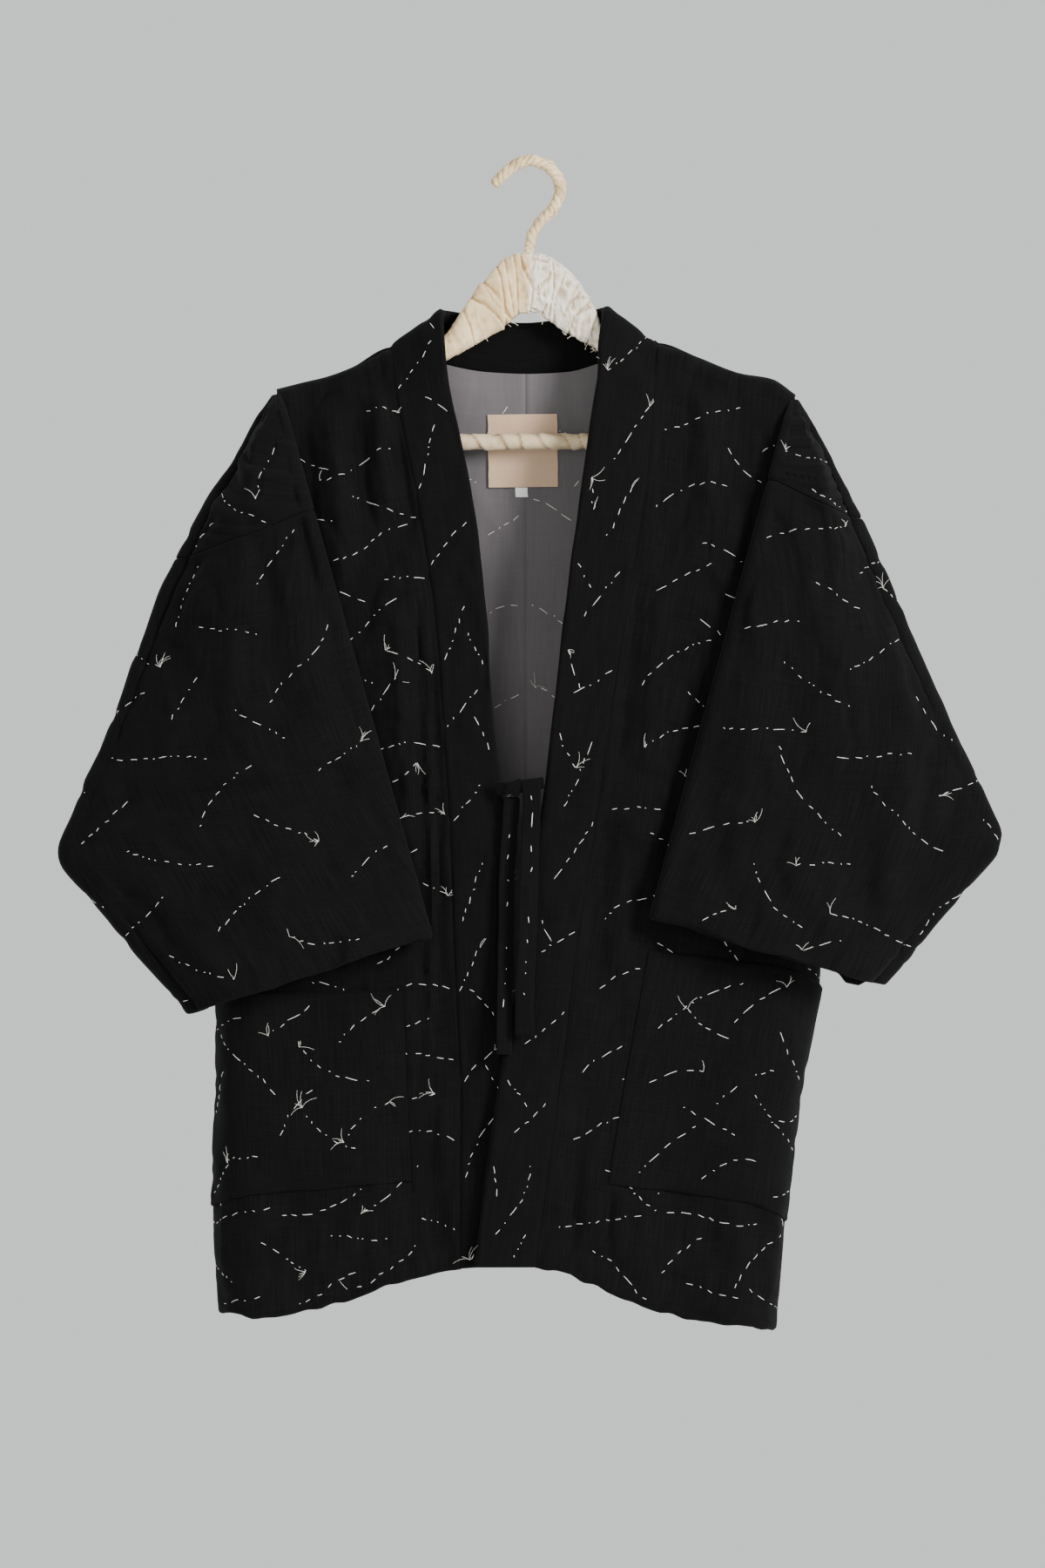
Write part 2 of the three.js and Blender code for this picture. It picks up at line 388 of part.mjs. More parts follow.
// ---- ties ----
function ribbon(name, rows, w, t, color) { // rows: centre a, h, y
  const P = rows.map(([a, h, y]) => [-0.5, 0.5].map((k) => [X(a) + k * w, y, Z(h)]));
  const G = P.map((r) => r.map((p) => ({ p, n: [0, -1, 0] })));
  root.add(wall(name, G, t, color));
}
ribbon('tie_1', [[610, 921, -79], [609, 960, -81], [607, 1020, -83], [605, 1080, -85], [603, 1130, -87], [602.5, 1187, -88]], TIE_W, TIE_T, INK);
ribbon('tie_2', [[588, 921, -72], [585, 960, -70], [582, 1010, -69.5], [581, 1060, -71], [580, 1110, -74.5], [579.5, 1145, -78.5], [579, 1209, -80.2]], TIE_W - 2, TIE_T, INK);
{
  const rowsN = 8, cols = 14, V = [[X(596), -73, Z(906) + 8]], F = [];
  for (let i = 1; i < rowsN; i++) for (let j = 0; j < cols; j++) {
    const p = Math.PI * i / rowsN, t = 2 * Math.PI * j / cols;
    V.push([X(596) + 19 * Math.sin(p) * Math.cos(t), -73 + 7 * Math.sin(p) * Math.sin(t), Z(906) + 8 * Math.cos(p)]);
  }
  V.push([X(596), -73, Z(906) - 8]);
  for (let j = 0; j < cols; j++) F.push([0, 1 + j, 1 + (j + 1) % cols]);
  for (let i = 0; i < rowsN - 2; i++) for (let j = 0; j < cols; j++) F.push([1 + i * cols + j, 1 + (i + 1) * cols + j, 1 + (i + 1) * cols + (j + 1) % cols, 1 + i * cols + (j + 1) % cols]);
  const last = V.length - 1, b = 1 + (rowsN - 2) * cols;
  for (let j = 0; j < cols; j++) F.push([last, b + (j + 1) % cols, b + j]);
  root.add(mesh('tie_knot', V, F, INK));
}

// ---- hanger ----
const arms = T(['a', 'top', 'bottom'], [[328, 470, 482], [345, 463, 489], [375, 453, 486], [405, 439, 474], [450, 415, 454], [490, 400, 434], [505, 388, 420], [514, 379, 412], [520, 370.5, 408.5], [527, 359.5, 405], [540, 340, 398], [552, 325, 391], [563, 312, 384], [576, 298.5, 375], [590, 290.5, 364], [601, 289, 357.5], [614, 289.5, 356.5], [628, 292, 365], [640, 297.5, 373], [652, 307.5, 381], [664, 320.5, 387], [675, 336.5, 393], [685, 356, 399], [692, 376, 405], [698, 384, 411], [720, 394, 428], [755, 418, 450], [800, 430, 466], [850, 449, 482], [882, 456, 489], [902, 474, 484]]);
{
  const m = 12, V = [], F = [], n = arms.rows.length;
  arms.rows.forEach(([a, t, b], i) => {
    const cz = (Z(t) + Z(b)) / 2, rz = (Z(t) - Z(b)) / 2, ry = ARM_Y * (i === 0 || i === n - 1 ? 0.55 : 1);
    for (let j = 0; j < m; j++) { const th = 2 * Math.PI * j / m; V.push([X(a), ry * Math.sign(Math.cos(th)) * Math.abs(Math.cos(th)) ** 0.75, cz + rz * Math.sign(Math.sin(th)) * Math.abs(Math.sin(th)) ** 0.75]); }
  });
  for (let i = 0; i < n - 1; i++) for (let j = 0; j < m; j++) F.push([i * m + j, i * m + (j + 1) % m, (i + 1) * m + (j + 1) % m, (i + 1) * m + j]);
  for (let k = 1; k < m - 1; k++) { F.push([0, k + 1, k]); F.push([(n - 1) * m, (n - 1) * m + k, (n - 1) * m + k + 1]); }
  root.add(mesh('hanger_arms', V, F, CREAM));
}
function tube(name, path, r, color, m = 12) {
  const V = [], F = [], n = path.length;
  path.forEach((p, i) => {
    const t = unit(sub(path[Math.min(i + 1, n - 1)], path[Math.max(i - 1, 0)]));
    const nx = [0, 1, 0], b = unit(cross(t, nx)), c = cross(b, t);
    for (let j = 0; j < m; j++) { const th = 2 * Math.PI * j / m; V.push([0, 1, 2].map((k) => p[k] + r * (b[k] * Math.cos(th) + c[k] * Math.sin(th)))); }
  });
  for (let i = 0; i < n - 1; i++) for (let j = 0; j < m; j++) F.push([i * m + j, i * m + (j + 1) % m, (i + 1) * m + (j + 1) % m, (i + 1) * m + j]);
  for (let k = 1; k < m - 1; k++) { F.push([0, k + 1, k]); F.push([(n - 1) * m, (n - 1) * m + k, (n - 1) * m + k + 1]); }
  root.add(mesh(name, V, F, color));
}
const barPath = [[351, 501], [356, 504.5], [364, 506], [450, 506], [560, 506], [660, 506], [780, 506], [864, 506], [872, 504.5], [877, 501]];
tube('hanger_bar', barPath.map(([a, h]) => [X(a), 0, Z(h)]), BAR_R, CREAM);
const curve = new THREE.CatmullRomCurve3([[566, 211], [577, 199], [593, 187], [610, 182], [627, 187], [640, 201], [643, 219], [635, 237], [621, 252], [611, 268], [607, 287.5]].map(([a, h]) => new THREE.Vector3(X(a), 0, Z(h))));
tube('hanger_hook', curve.getPoints(34).map((v) => [v.x, v.y, v.z]), HOOK_R, CREAM);

root.name = 'hanten_on_hanger';
export default root;
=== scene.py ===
# A padded, hand-quilted hanten on a cloth-wrapped hanger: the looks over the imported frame.
# Shapes are worked out in millimetres and made in metres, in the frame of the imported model.
import math

import bpy
import numpy as np
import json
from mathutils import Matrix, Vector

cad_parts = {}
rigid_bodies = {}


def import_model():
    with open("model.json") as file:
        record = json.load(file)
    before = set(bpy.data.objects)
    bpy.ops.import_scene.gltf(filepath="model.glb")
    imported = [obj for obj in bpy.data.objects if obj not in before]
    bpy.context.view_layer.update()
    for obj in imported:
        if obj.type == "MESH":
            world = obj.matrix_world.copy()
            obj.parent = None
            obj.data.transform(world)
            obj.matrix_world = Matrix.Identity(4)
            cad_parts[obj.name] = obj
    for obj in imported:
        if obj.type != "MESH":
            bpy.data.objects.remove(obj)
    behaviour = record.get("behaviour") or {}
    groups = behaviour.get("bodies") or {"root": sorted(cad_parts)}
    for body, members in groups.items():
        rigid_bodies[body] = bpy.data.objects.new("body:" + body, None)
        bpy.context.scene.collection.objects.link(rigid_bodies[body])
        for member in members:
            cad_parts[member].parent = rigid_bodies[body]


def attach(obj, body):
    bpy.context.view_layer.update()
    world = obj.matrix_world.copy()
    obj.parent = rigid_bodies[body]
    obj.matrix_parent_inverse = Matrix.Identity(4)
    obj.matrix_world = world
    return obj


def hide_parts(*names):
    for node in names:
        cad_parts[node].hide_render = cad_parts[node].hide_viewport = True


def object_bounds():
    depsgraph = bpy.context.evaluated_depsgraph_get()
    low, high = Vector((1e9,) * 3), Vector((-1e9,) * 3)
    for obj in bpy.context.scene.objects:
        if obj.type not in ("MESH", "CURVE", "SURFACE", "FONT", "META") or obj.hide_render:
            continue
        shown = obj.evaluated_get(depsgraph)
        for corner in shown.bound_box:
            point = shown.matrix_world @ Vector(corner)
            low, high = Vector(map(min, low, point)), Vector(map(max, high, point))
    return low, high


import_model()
_lo, _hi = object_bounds()
cad_box = [[float(v) for v in _lo], [float(v) for v in _hi]]

# ---------------------------------------------------------------- sizes (mm), the same as the frame's
CLOTH, BAND, POCKET, LINING, GAP = 6.0, 9.0, 4.0, 1.6, 0.3
NOSE, FRONT_DROP, BACK_DROP, SIDE_Y, TURN = 14.0, 44.0, 12.0, -18.0, 34.0
HOOK_R, BAR_R, ARM_Y, TIE_W, TIE_T = 5.4, 6.4, 8.5, 15.0, 2.4
U = 0.7
F_B, S_B, F_U = 0.72, 0.45, 0.52
STEP = 3.7                       # spacing of the cloth's grids

# ---------------------------------------------------------------- camera
CAM_D = 10000.0
cam = bpy.data.objects.new("camera", bpy.data.cameras.new("camera"))
bpy.context.scene.collection.objects.link(cam)
cam.location = (-0.0056, -(CAM_D + 32.0) / 1000, -0.497)
cam.rotation_euler = (math.pi / 2, 0, 0)
cam.data.sensor_width = 36.0
cam.data.lens = 36.0 * CAM_D / 1260.0
cam.data.clip_end = 100
bpy.context.scene.camera = cam


# ---------------------------------------------------------------- small tools
def X(a):
    return (np.asarray(a, float) - 608) * U


def Z(h):
    return (190 - np.asarray(h, float)) * U


def lerp(p, q, t):
    return p + (q - p) * t


def smooth(e0, e1, x):
    t = np.clip((np.asarray(x, float) - e0) / (e1 - e0), 0, 1)
    return t * t * (3 - 2 * t)


def unit(v):
    v = np.asarray(v, float)
    return v / np.maximum(np.linalg.norm(v, axis=-1, keepdims=True), 1e-9)


class Tab:
    """A table read with a smooth curve that keeps its turns where the rows put them."""

    def __init__(self, rows):
        r = np.array(rows, float)
        self.x, self.y = r[:, 0], r[:, 1]
        h = np.diff(self.x)
        d = np.diff(self.y) / h
        m = np.zeros(len(self.x))
        m[0], m[-1] = d[0], d[-1]
        for i in range(1, len(m) - 1):
            if d[i - 1] * d[i] > 0:
                w1, w2 = 2 * h[i] + h[i - 1], h[i] + 2 * h[i - 1]
                m[i] = (w1 + w2) / (w1 / d[i - 1] + w2 / d[i])
        self.m = m

    def __call__(self, v):
        v = np.clip(np.asarray(v, float), self.x[0], self.x[-1])
        i = np.clip(np.searchsorted(self.x, v, side="right") - 1, 0, len(self.x) - 2)
        h = self.x[i + 1] - self.x[i]
        t = (v - self.x[i]) / h
        t2, t3 = t * t, t * t * t
        return ((2 * t3 - 3 * t2 + 1) * self.y[i] + (t3 - 2 * t2 + t) * h * self.m[i]
                + (-2 * t3 + 3 * t2) * self.y[i + 1] + (t3 - t2) * h * self.m[i + 1])


def vnoise(x, y, scale, seed):
    """Soft value noise from -1 to 1; scale in mm, one number or one for each way."""
    sx, sy = (scale, scale) if np.isscalar(scale) else scale
    g = np.random.default_rng(seed).random((61, 67)) * 2 - 1
    a, b = np.asarray(x, float) / sx + 17.3, np.asarray(y, float) / sy + 9.1
    i, j = np.floor(a).astype(int), np.floor(b).astype(int)
    fa, fb = a - i, b - j
    fa, fb = fa * fa * (3 - 2 * fa), fb * fb * (3 - 2 * fb)

    def at(p, q):
        return g[p % 61, q % 67]

    return ((at(i, j) * (1 - fa) + at(i + 1, j) * fa) * (1 - fb)
            + (at(i, j + 1) * (1 - fa) + at(i + 1, j + 1) * fa) * fb)


# ---------------------------------------------------------------- outline tables (a across, h down)
RIDGE = Tab([[318, 445], [350, 437], [375, 431], [405, 420], [450, 397], [520, 362], [608, 346], [690, 360], [755, 392],
             [800, 408], [850, 427], [885, 433], [912, 451]])
NECK = Tab([[318, 445], [350, 437], [375, 431], [405, 420], [450, 397], [480, 403], [515, 416], [560, 424], [605, 426],
            [650, 424], [690, 413], [725, 399], [755, 392], [800, 408], [850, 427], [885, 433], [912, 451]])
HEM = Tab([[247, 1508], [300, 1511], [350, 1506], [400, 1491], [440, 1478], [500, 1461], [547, 1453], [575, 1449],
           [612, 1453], [645, 1460], [680, 1474], [720, 1491], [770, 1508], [820, 1520], [888, 1527]])
BACK_HEM = Tab([[247, 1508], [320, 1501], [400, 1482], [450, 1467], [530, 1447], [605, 1440], [680, 1463], [760, 1495],
                [820, 1511], [888, 1527]])


class Side:
    def __init__(self, key, sgn, A, B, C, D, side, seam, bow, f_in, f_out, hem_side, seed):
        self.key, self.sgn, self.f_in, self.f_out, self.hem, self.seed = key, sgn, f_in, f_out, hem_side, seed
        self.A, self.B, self.C, self.D = (np.array(v, float) for v in (A, B, C, D))
        self.side, self.seam, self.bow = Tab(side), Tab(seam), Tab(bow)
        self.top = self.A[1] + CLOTH / 2 / U
        v = (self.D - self.A) * (1 - S_B) + (self.B - self.A) / F_B * S_B
        self.under = self.A + F_U * v
        self.w_under = (self.under[1] - self.top) / (self.hem - self.top)


L_ = Side("l", -1, (318, 445), (66, 982), (220, 1162), (494, 1076),
          [[445, 318], [798, 288], [1150, 254], [1250, 252.5], [1330, 250], [1400, 248], [1440, 249.5], [1508, 255]],
          [[396, 450], [460, 458], [510, 468], [570, 480], [640, 492], [720, 503], [800, 509], [880, 514],
           [960, 519], [1050, 522], [1127, 525], [1250, 531], [1460, 530]],
          [[0, 0], [0.12, 6], [0.22, 14], [0.3, 20], [0.42, 21], [0.55, 15], [0.7, 7], [0.85, 3], [1, 0]], 0.226, 0.265, 1508, 11)
R_ = Side("r", 1, (912, 451), (1152, 967), (1010, 1130), (748, 1055),
          [[451, 912], [791, 940], [1116, 939], [1180, 929], [1250, 915.5], [1370, 901], [1440, 895], [1527, 888]],
          [[396, 755], [480, 747], [560, 740], [700, 718], [800, 702], [860, 693], [920, 686], [1018, 671],
           [1090, 659], [1175, 650], [1240, 641], [1460, 612]],
          [[0, 0], [0.15, 6], [0.3, 8], [0.44, 7], [0.6, 1], [1, 0]], 0.169, 0.202, 1527, 23)


# ---------------------------------------------------------------- depth of the hanging cloth
def belly(d, out, reach):
    d = np.asarray(d, float)
    near = NOSE * np.sqrt(np.maximum(0, 1 - (1 - np.clip(d, 0, NOSE) / NOSE) ** 2))
    return np.where(d < NOSE, near, NOSE + out * (1 - np.exp(-(np.maximum(d, NOSE) - NOSE) / reach)))


def below(a, h):
    return (h - RIDGE(a)) * U - CLOTH / 2


def lap(a, h):
    return 12 * smooth(930, 1200, h) * smooth(790, 690, a) * smooth(540, 600, a)


def front_y(a, h):
    return -belly(below(a, h), FRONT_DROP, 70)


def back_y(a, h):
    return belly(below(a, h), BACK_DROP, 40)


def closed(S, w):
    return smooth(0.7 * S.w_under, 0.93 * S.w_under, w)


def panel(S, back, p, w):
    p, w = np.broadcast_arrays(np.asarray(p, float), np.asarray(w, float))
    top_t, bot = (NECK, BACK_HEM) if back else (RIDGE, HEM)

    def top(a):
        return top_t(a) + CLOTH / 2 / U

    hs = lerp(S.top, S.hem, w)
    a_s = S.side(hs)
    in_top = 603.5 + S.sgn * GAP / 2 / U if back else S.seam(0.0)
    a_ib = in_top if back else S.seam(1460.0)
    hi = lerp(top(in_top), bot(a_ib), w)
    ai = in_top + 0 * w if back else S.seam(hi) + S.sgn * GAP / 2 / U
    a_sb = S.side(S.hem)
    turn = TURN / U
    k = closed(S, w)
    te = lerp(0.35, math.pi / 2, k)
    af = a_s - S.sgn * turn

    def depth(aa, hh):
        return back_y(aa, hh) if back else front_y(aa, hh) - lap(aa, hh)

    def h_at(aa):
        u = (aa - ai) / (a_s - ai)
        at_, ab = lerp(in_top, S.A[0], u), lerp(a_ib, a_sb, u)
        dev_t = top(at_) - lerp(top(in_top), top(S.A[0]), u)
        dev_b = bot(ab) - lerp(bot(a_ib), bot(a_sb), u)
        return lerp(hi, hs, u) + (1 - w) * dev_t + w * dev_b

    th = np.clip(p - 1, 0, None) * te
    a = np.where(p <= 1, lerp(ai, af, p), a_s - S.sgn * turn * (1 - np.sin(th) / np.sin(te)))
    seam_y = SIDE_Y + (-0.45 if back else 0.45)      # the two edges are sewn: they lie 0.9 mm into each other
    drop = np.where(p > 1, k * (seam_y - depth(a_s, h_at(a_s))) * (1 - np.cos(th)) / (1 - np.cos(te)), 0)
    h = h_at(a)
    return np.stack([X(a), depth(a, h) + drop, Z(h)], -1)


# ---------------------------------------------------------------- sleeve and dropped shoulder, rings round the arm
COUNT = dict(turn=10, ret=28, fold=8, face=56, outer=12, rear=44)
NR = sum(COUNT.values()) + 1
B1 = COUNT["turn"] + COUNT["ret"]
B2 = B1 + COUNT["fold"]
B3 = B2 + COUNT["face"]
B4 = B3 + COUNT["outer"]


def ray_ends(S, f):
    pin = S.A + (S.D - S.A) * f

    def out(g):
        if g < F_B:                  # the outer fold is a little full
            return S.A + (S.B - S.A) * g / F_B + np.array([S.sgn * float(S.bow(g / F_B)), 0])
        return S.B + (S.C - S.B) * (g - F_B) / (1 - F_B)

    r = 0.03
    if abs(f - F_B) < r:             # the outer corner is a little round
        t = (f - F_B + r) / (2 * r)
        pout = (1 - t) ** 2 * out(F_B - r) + 2 * t * (1 - t) * S.B + t * t * out(F_B + r)
    else:
        pout = out(f)
    return pin, pout


def ring(S, f):
    pin, pout = ray_ends(S, f)
    L = float(np.hypot(*(pout - pin))) * U
    q_ = min(1.0, L / 18.0)

    def at(s):
        s = np.asarray(s, float)[..., None] / L
        return pin + (pout - pin) * s

    lo, hi = 0.0, L
    for _ in range(22):
        m = (lo + hi) / 2
        g = at(m)
        if (g[0] - float(S.side(g[1]))) * S.sgn < 0:
            lo = m
        else:
            hi = m
    ss = (lo + hi) / 2
    off = (9 * float(smooth(0, 0.06, f)) + 9 * float(smooth(0.78, 0.95, f)))

    def ret(s):
        g = at(np.clip(s, 0, ss))
        return front_y(g[..., 0], g[..., 1]) - off

    ri = lerp(3.4, 6.5, float(smooth(0.04, 0.2, f))) * q_
    ro = (lerp(5, 12, float(smooth(0.04, 0.25, f))) - 3 * float(smooth(0.85, 1, f))) * q_
    yo = (-6 - 20 * float(smooth(0.03, 0.3, f)) - 28 * float(smooth(0.3, 0.75, f)) - 10 * float(smooth(0.8, 1, f))) * lerp(0.4, 1, q_)
    e = 10 * float(smooth(F_U - 0.1, F_U - 0.01, f))
    w = float(np.clip((at(ss)[1] - S.top) / (S.hem - S.top), 0, 1))
    k = float(closed(S, min(w, S.w_under)))
    if f < F_U:
        pf, pb = panel(S, False, 2.0, w), panel(S, True, 2.0, w)
        away = 0.1 + 1.0 * float(smooth(0.3, 0.4, f))
        start = np.array([ss + e + away, pf[1]])
        end = np.array([ss + e + away, pb[1]])
        back = 6 + 22 * k
    else:
        m = float(smooth(F_U, F_U + 0.16, f))
        start = np.array([min(ss + e, L - ro - 2), lerp(SIDE_Y, -50, m)])
        end, back = start, 28
    r3 = max(ss - back, ri + 1 * q_)
    out = 11 - 3 * k
    c = [start, np.array([start[0] + out * q_, start[1]]), np.array([start[0] + out * q_, float(ret(r3))]), np.array([r3, float(ret(r3))])]
    t = (np.arange(COUNT["turn"]) / COUNT["turn"])[:, None]
    pts = [(1 - t) ** 3 * c[0] + 3 * (1 - t) ** 2 * t * c[1] + 3 * (1 - t) * t * t * c[2] + t ** 3 * c[3]]
    s = lerp(r3, ri, np.arange(COUNT["ret"]) / COUNT["ret"])
    pts.append(np.stack([s, ret(s)], -1))
    yi = float(ret(ri)) - ri
    t = math.pi * np.arange(COUNT["fold"]) / COUNT["fold"]
    pts.append(np.stack([ri - ri * np.sin(t), yi + ri * np.cos(t)], -1))
    y0, y1 = yi - ri, yo - ro
    bulge = (6 * float(smooth(0.05, 0.4, f)) + 6 * float(smooth(0.6, 0.95, f))) * q_
    hold = float(np.clip((ss + 13 - ri) / max(L - ro - ri, 1), 0, 0.8))
    t = np.arange(COUNT["face"]) / COUNT["face"]
    pts.append(np.stack([lerp(ri, L - ro, t), lerp(y0, y1, smooth(hold, 1.15, t)) - bulge * np.sin(math.pi * t)], -1))
    t = math.pi * np.arange(COUNT["outer"]) / COUNT["outer"]
    pts.append(np.stack([L - ro + ro * np.sin(t), yo - ro * np.cos(t)], -1))
    t = np.arange(COUNT["rear"] + 1) / COUNT["rear"]
    pts.append(np.stack([lerp(L - ro, end[0], t), lerp(yo + ro, end[1], smooth(0, 1, t))], -1))
    sy = np.concatenate(pts)
    g = at(sy[:, 0])
    return np.stack([X(g[:, 0]), sy[:, 1], Z(g[:, 1])], -1), q_


def cut_ray(S, i):
    if i <= B1:
        return lerp(F_U, S.f_in, i / B1)
    if i <= B2:
        return S.f_in
    if i <= B3:
        return lerp(S.f_in, S.f_out, (i - B2) / (B3 - B2))
    if i <= B4:
        return S.f_out
    return lerp(S.f_out, F_U, (i - B4) / (NR - 1 - B4))


# ---------------------------------------------------------------- meshes
def new_object(name, V, F, mat, uv=None, sharp=55):
    me = bpy.data.meshes.new(name)
    me.from_pydata((np.asarray(V) / 1000.0).tolist(), [], [tuple(int(v) for v in f) for f in F])
    if uv is not None:
        lay = me.uv_layers.new(name="UVMap")
        lay.data.foreach_set("uv", (np.asarray(uv, float) / 1000.0).ravel())
    me.validate()
    me.update()
    me.polygons.foreach_set("use_smooth", [True] * len(me.polygons))
    me.set_sharp_from_angle(angle=math.radians(sharp))
    ob = bpy.data.objects.new(name, me)
    bpy.context.scene.collection.objects.link(ob)
    for m in (mat if isinstance(mat, (list, tuple)) else [mat]):
        me.materials.append(m)
    return ob


def place(ob, node):
    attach(ob, "root")
    if node:
        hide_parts(node)
    return ob


def quads(ni, nj, loop, base, flip):
    mi = ni if loop else ni - 1
    i, j = np.meshgrid(np.arange(mi), np.arange(nj - 1), indexing="ij")
    i, j = i.ravel(), j.ravel()
    i2 = (i + 1) % ni
    f = np.stack([i * nj + j, i2 * nj + j, i2 * nj + j + 1, i * nj + j + 1], 1) + base
    c = np.stack([i * nj + j, (i + 1) * nj + j, (i + 1) * nj + j + 1, i * nj + j + 1], 1)
    return (f[:, ::-1], c[:, ::-1]) if flip else (f, c)


def grid_normals(P, loop=False):
    if loop:
        Q = np.concatenate([P[-2:], P, P[:2]])
        du = np.gradient(Q, axis=0)[2:-2]
    else:
        du = np.gradient(P, axis=0)
    dv = np.gradient(P, axis=1)
    return unit(np.cross(du, dv))


def arcs(P, loop=False):
    """Lengths along each way of a grid from its first row and column."""
    Q = np.concatenate([P, P[:1]]) if loop else P
    s = np.concatenate([np.zeros((1, P.shape[1])), np.cumsum(np.linalg.norm(np.diff(Q, axis=0), axis=-1), 0)])
    t = np.concatenate([np.zeros((Q.shape[0], 1)), np.cumsum(np.linalg.norm(np.diff(Q, axis=1), axis=-1), 1)], 1)
    return s, t


def wall(name, P, N, th, D, mat, loop=False, inner=None):
    """A closed wall: the mid-surface P moved out by half of th plus D, and in by half of th."""
    ni, nj = P.shape[:2]
    out = P + N * (th / 2 + D)[..., None]
    inn = P - N * (th / 2 if inner is None else inner)[..., None]
    s, t = arcs(P, loop)
    F, C = [], []
    flip = float(np.sum(np.cross(P[ni // 2 + 1, nj // 2] - P[ni // 2, nj // 2], P[ni // 2, nj // 2 + 1] - P[ni // 2, nj // 2]) * N[ni // 2, nj // 2])) < 0
    for side in (0, 1):
        f, c = quads(ni, nj, loop, side * ni * nj, flip == (side == 0))
        F.append(f)
        C.append(c)
    n = ni * nj

    def strip(ids, cs, rev):
        a, b = ids[:-1], ids[1:]
        f = np.stack([a, a + n, b + n, b], 1)
        c = np.stack([cs[:-1], cs[:-1], cs[1:], cs[1:]], 1)
        if rev:
            f, c = f[:, ::-1], c[:, ::-1]
        F.append(f)
        C.append(c)

    ii = np.arange(ni + 1) % ni if loop else np.arange(ni)
    ci = np.arange(len(ii))
    strip(ii * nj, ci * nj, flip)
    strip(ii * nj + nj - 1, ci * nj + nj - 1, not flip)
    if not loop:
        jj = np.arange(nj)
        strip(jj, jj, not flip)
        strip((ni - 1) * nj + jj, (ni - 1) * nj + jj, flip)
    F, C = np.concatenate(F), np.concatenate(C)
    uv = np.stack([s.ravel()[C], t.ravel()[C]], -1).reshape(-1, 2)
    ob = new_object(name, np.concatenate([out.reshape(-1, 3), inn.reshape(-1, 3)]), F, mat, uv)
    return ob, out


def declare(P, loop):
    """Measures the sheet's flat size along the cloth itself; the numbers are not used further."""
    s, t = arcs(P, loop)
    w, l = s[-1].max() / 1000, t[:, -1].max() / 1000
    w, l = max(w, 0.011), max(l, 0.011)


# ---------------------------------------------------------------- folds, dents and stitches
def seg_dist(a, h, pts):
    """Distance (mm) from each point of the picture plane to a line of points, how far along it (0..1), and on which side."""
    pts = np.array(pts, float)
    L = np.hypot(*np.diff(pts, axis=0).T)
    acc = np.concatenate([[0], np.cumsum(L)])
    best = np.full(np.shape(a), 1e9)
    along = np.zeros(np.shape(a))
    side = np.zeros(np.shape(a))
    for k in range(len(L)):
        d = pts[k + 1] - pts[k]
        t = np.clip(((a - pts[k, 0]) * d[0] + (h - pts[k, 1]) * d[1]) / (L[k] ** 2), 0, 1)
        ex, ey = a - pts[k, 0] - t * d[0], h - pts[k, 1] - t * d[1]
        r = np.hypot(ex, ey)
        m = r < best
        best = np.where(m, r, best)
        along = np.where(m, (acc[k] + t * L[k]) / acc[-1], along)
        side = np.where(m, np.sign(d[0] * ey - d[1] * ex), side)
    return best * U, along, side


def folds(a, h, rows):
    D = np.zeros(np.shape(a))
    for pts, width, amp in rows:
        r, t, _ = seg_dist(a, h, pts)
        D += 2.8 * amp * np.exp(-(r / width) ** 2 * 1.6) * smooth(0, 0.22, t) * smooth(1, 0.78, t)
    return D


def run_lines(P, N, zone, across, down, length, phi, kap, rng, loop=False, jitter=10.0, start=(20.0, 25.0)):
    """Short arcs in a brick layout, traced over the grid; each is a list of grid places 1.5 mm apart."""
    i0, i1, j0, j1 = zone
    gi = np.gradient(P, axis=0)
    gj = np.gradient(P, axis=1)
    s, t = arcs(P, False)
    runs = []
    jm = (j0 + j1) // 2
    im = (i0 + i1) // 2
    tt = t[im, j0:j1 + 1] - t[im, j0]
    row = 0
    y = start[1]
    while y < tt[-1] + down * 0.4:
        jj = j0 + float(np.interp(y, tt, np.arange(len(tt))))
        sj = s[i0:i1 + 1, int(round(jj))] - s[i0, int(round(jj))]
        x = start[0] + (across / 2 if row % 2 else 0)
        while x < sj[-1] + across * 0.3:
            xi = x + rng.uniform(-jitter, jitter)
            yi = y + rng.uniform(-jitter, jitter) * 0.7
            ii = i0 + float(np.interp(xi, sj, np.arange(len(sj))))
            jq = j0 + float(np.interp(yi, tt, np.arange(len(tt))))
            ph = (phi if row % 2 == 0 else -0.7 * phi) + rng.uniform(-0.34, 0.34)
            ka = kap * rng.uniform(0.4, 2.1) * (1 if row % 2 == 0 else -1)
            wave = rng.random() < 0.4
            half = length * rng.uniform(0.28, 0.58)
            parts = []
            for sg in (-1, 1):
                i, j, a, d, got = ii, jq, ph + (math.pi if sg < 0 else 0), 0.0, []
                while d < half:
                    if not (i0 <= i <= i1 and j0 <= j <= j1):
                        break
                    got.append((i, j))
                    u, v = gi[int(i), int(j)], gj[int(i), int(j)]
                    e1 = u / (np.linalg.norm(u) + 1e-9)
                    w = v - v.dot(e1) * e1
                    e2 = w / (np.linalg.norm(w) + 1e-9)
                    b = math.sin(a) / max(v.dot(e2), 1e-6)
                    c = (math.cos(a) - b * v.dot(e1)) / max(u.dot(e1), 1e-6)
                    i, j = i + c * 1.5, j + b * 1.5
                    a += (1 if wave else sg) * ka * 1.5
                    d += 1.5
                parts.append(got)
            line = parts[0][::-1] + parts[1][1:]
            if len(line) * 1.5 > 26:
                runs.append(np.array(line))
            x += across
        y += down
        row += 1
    return runs


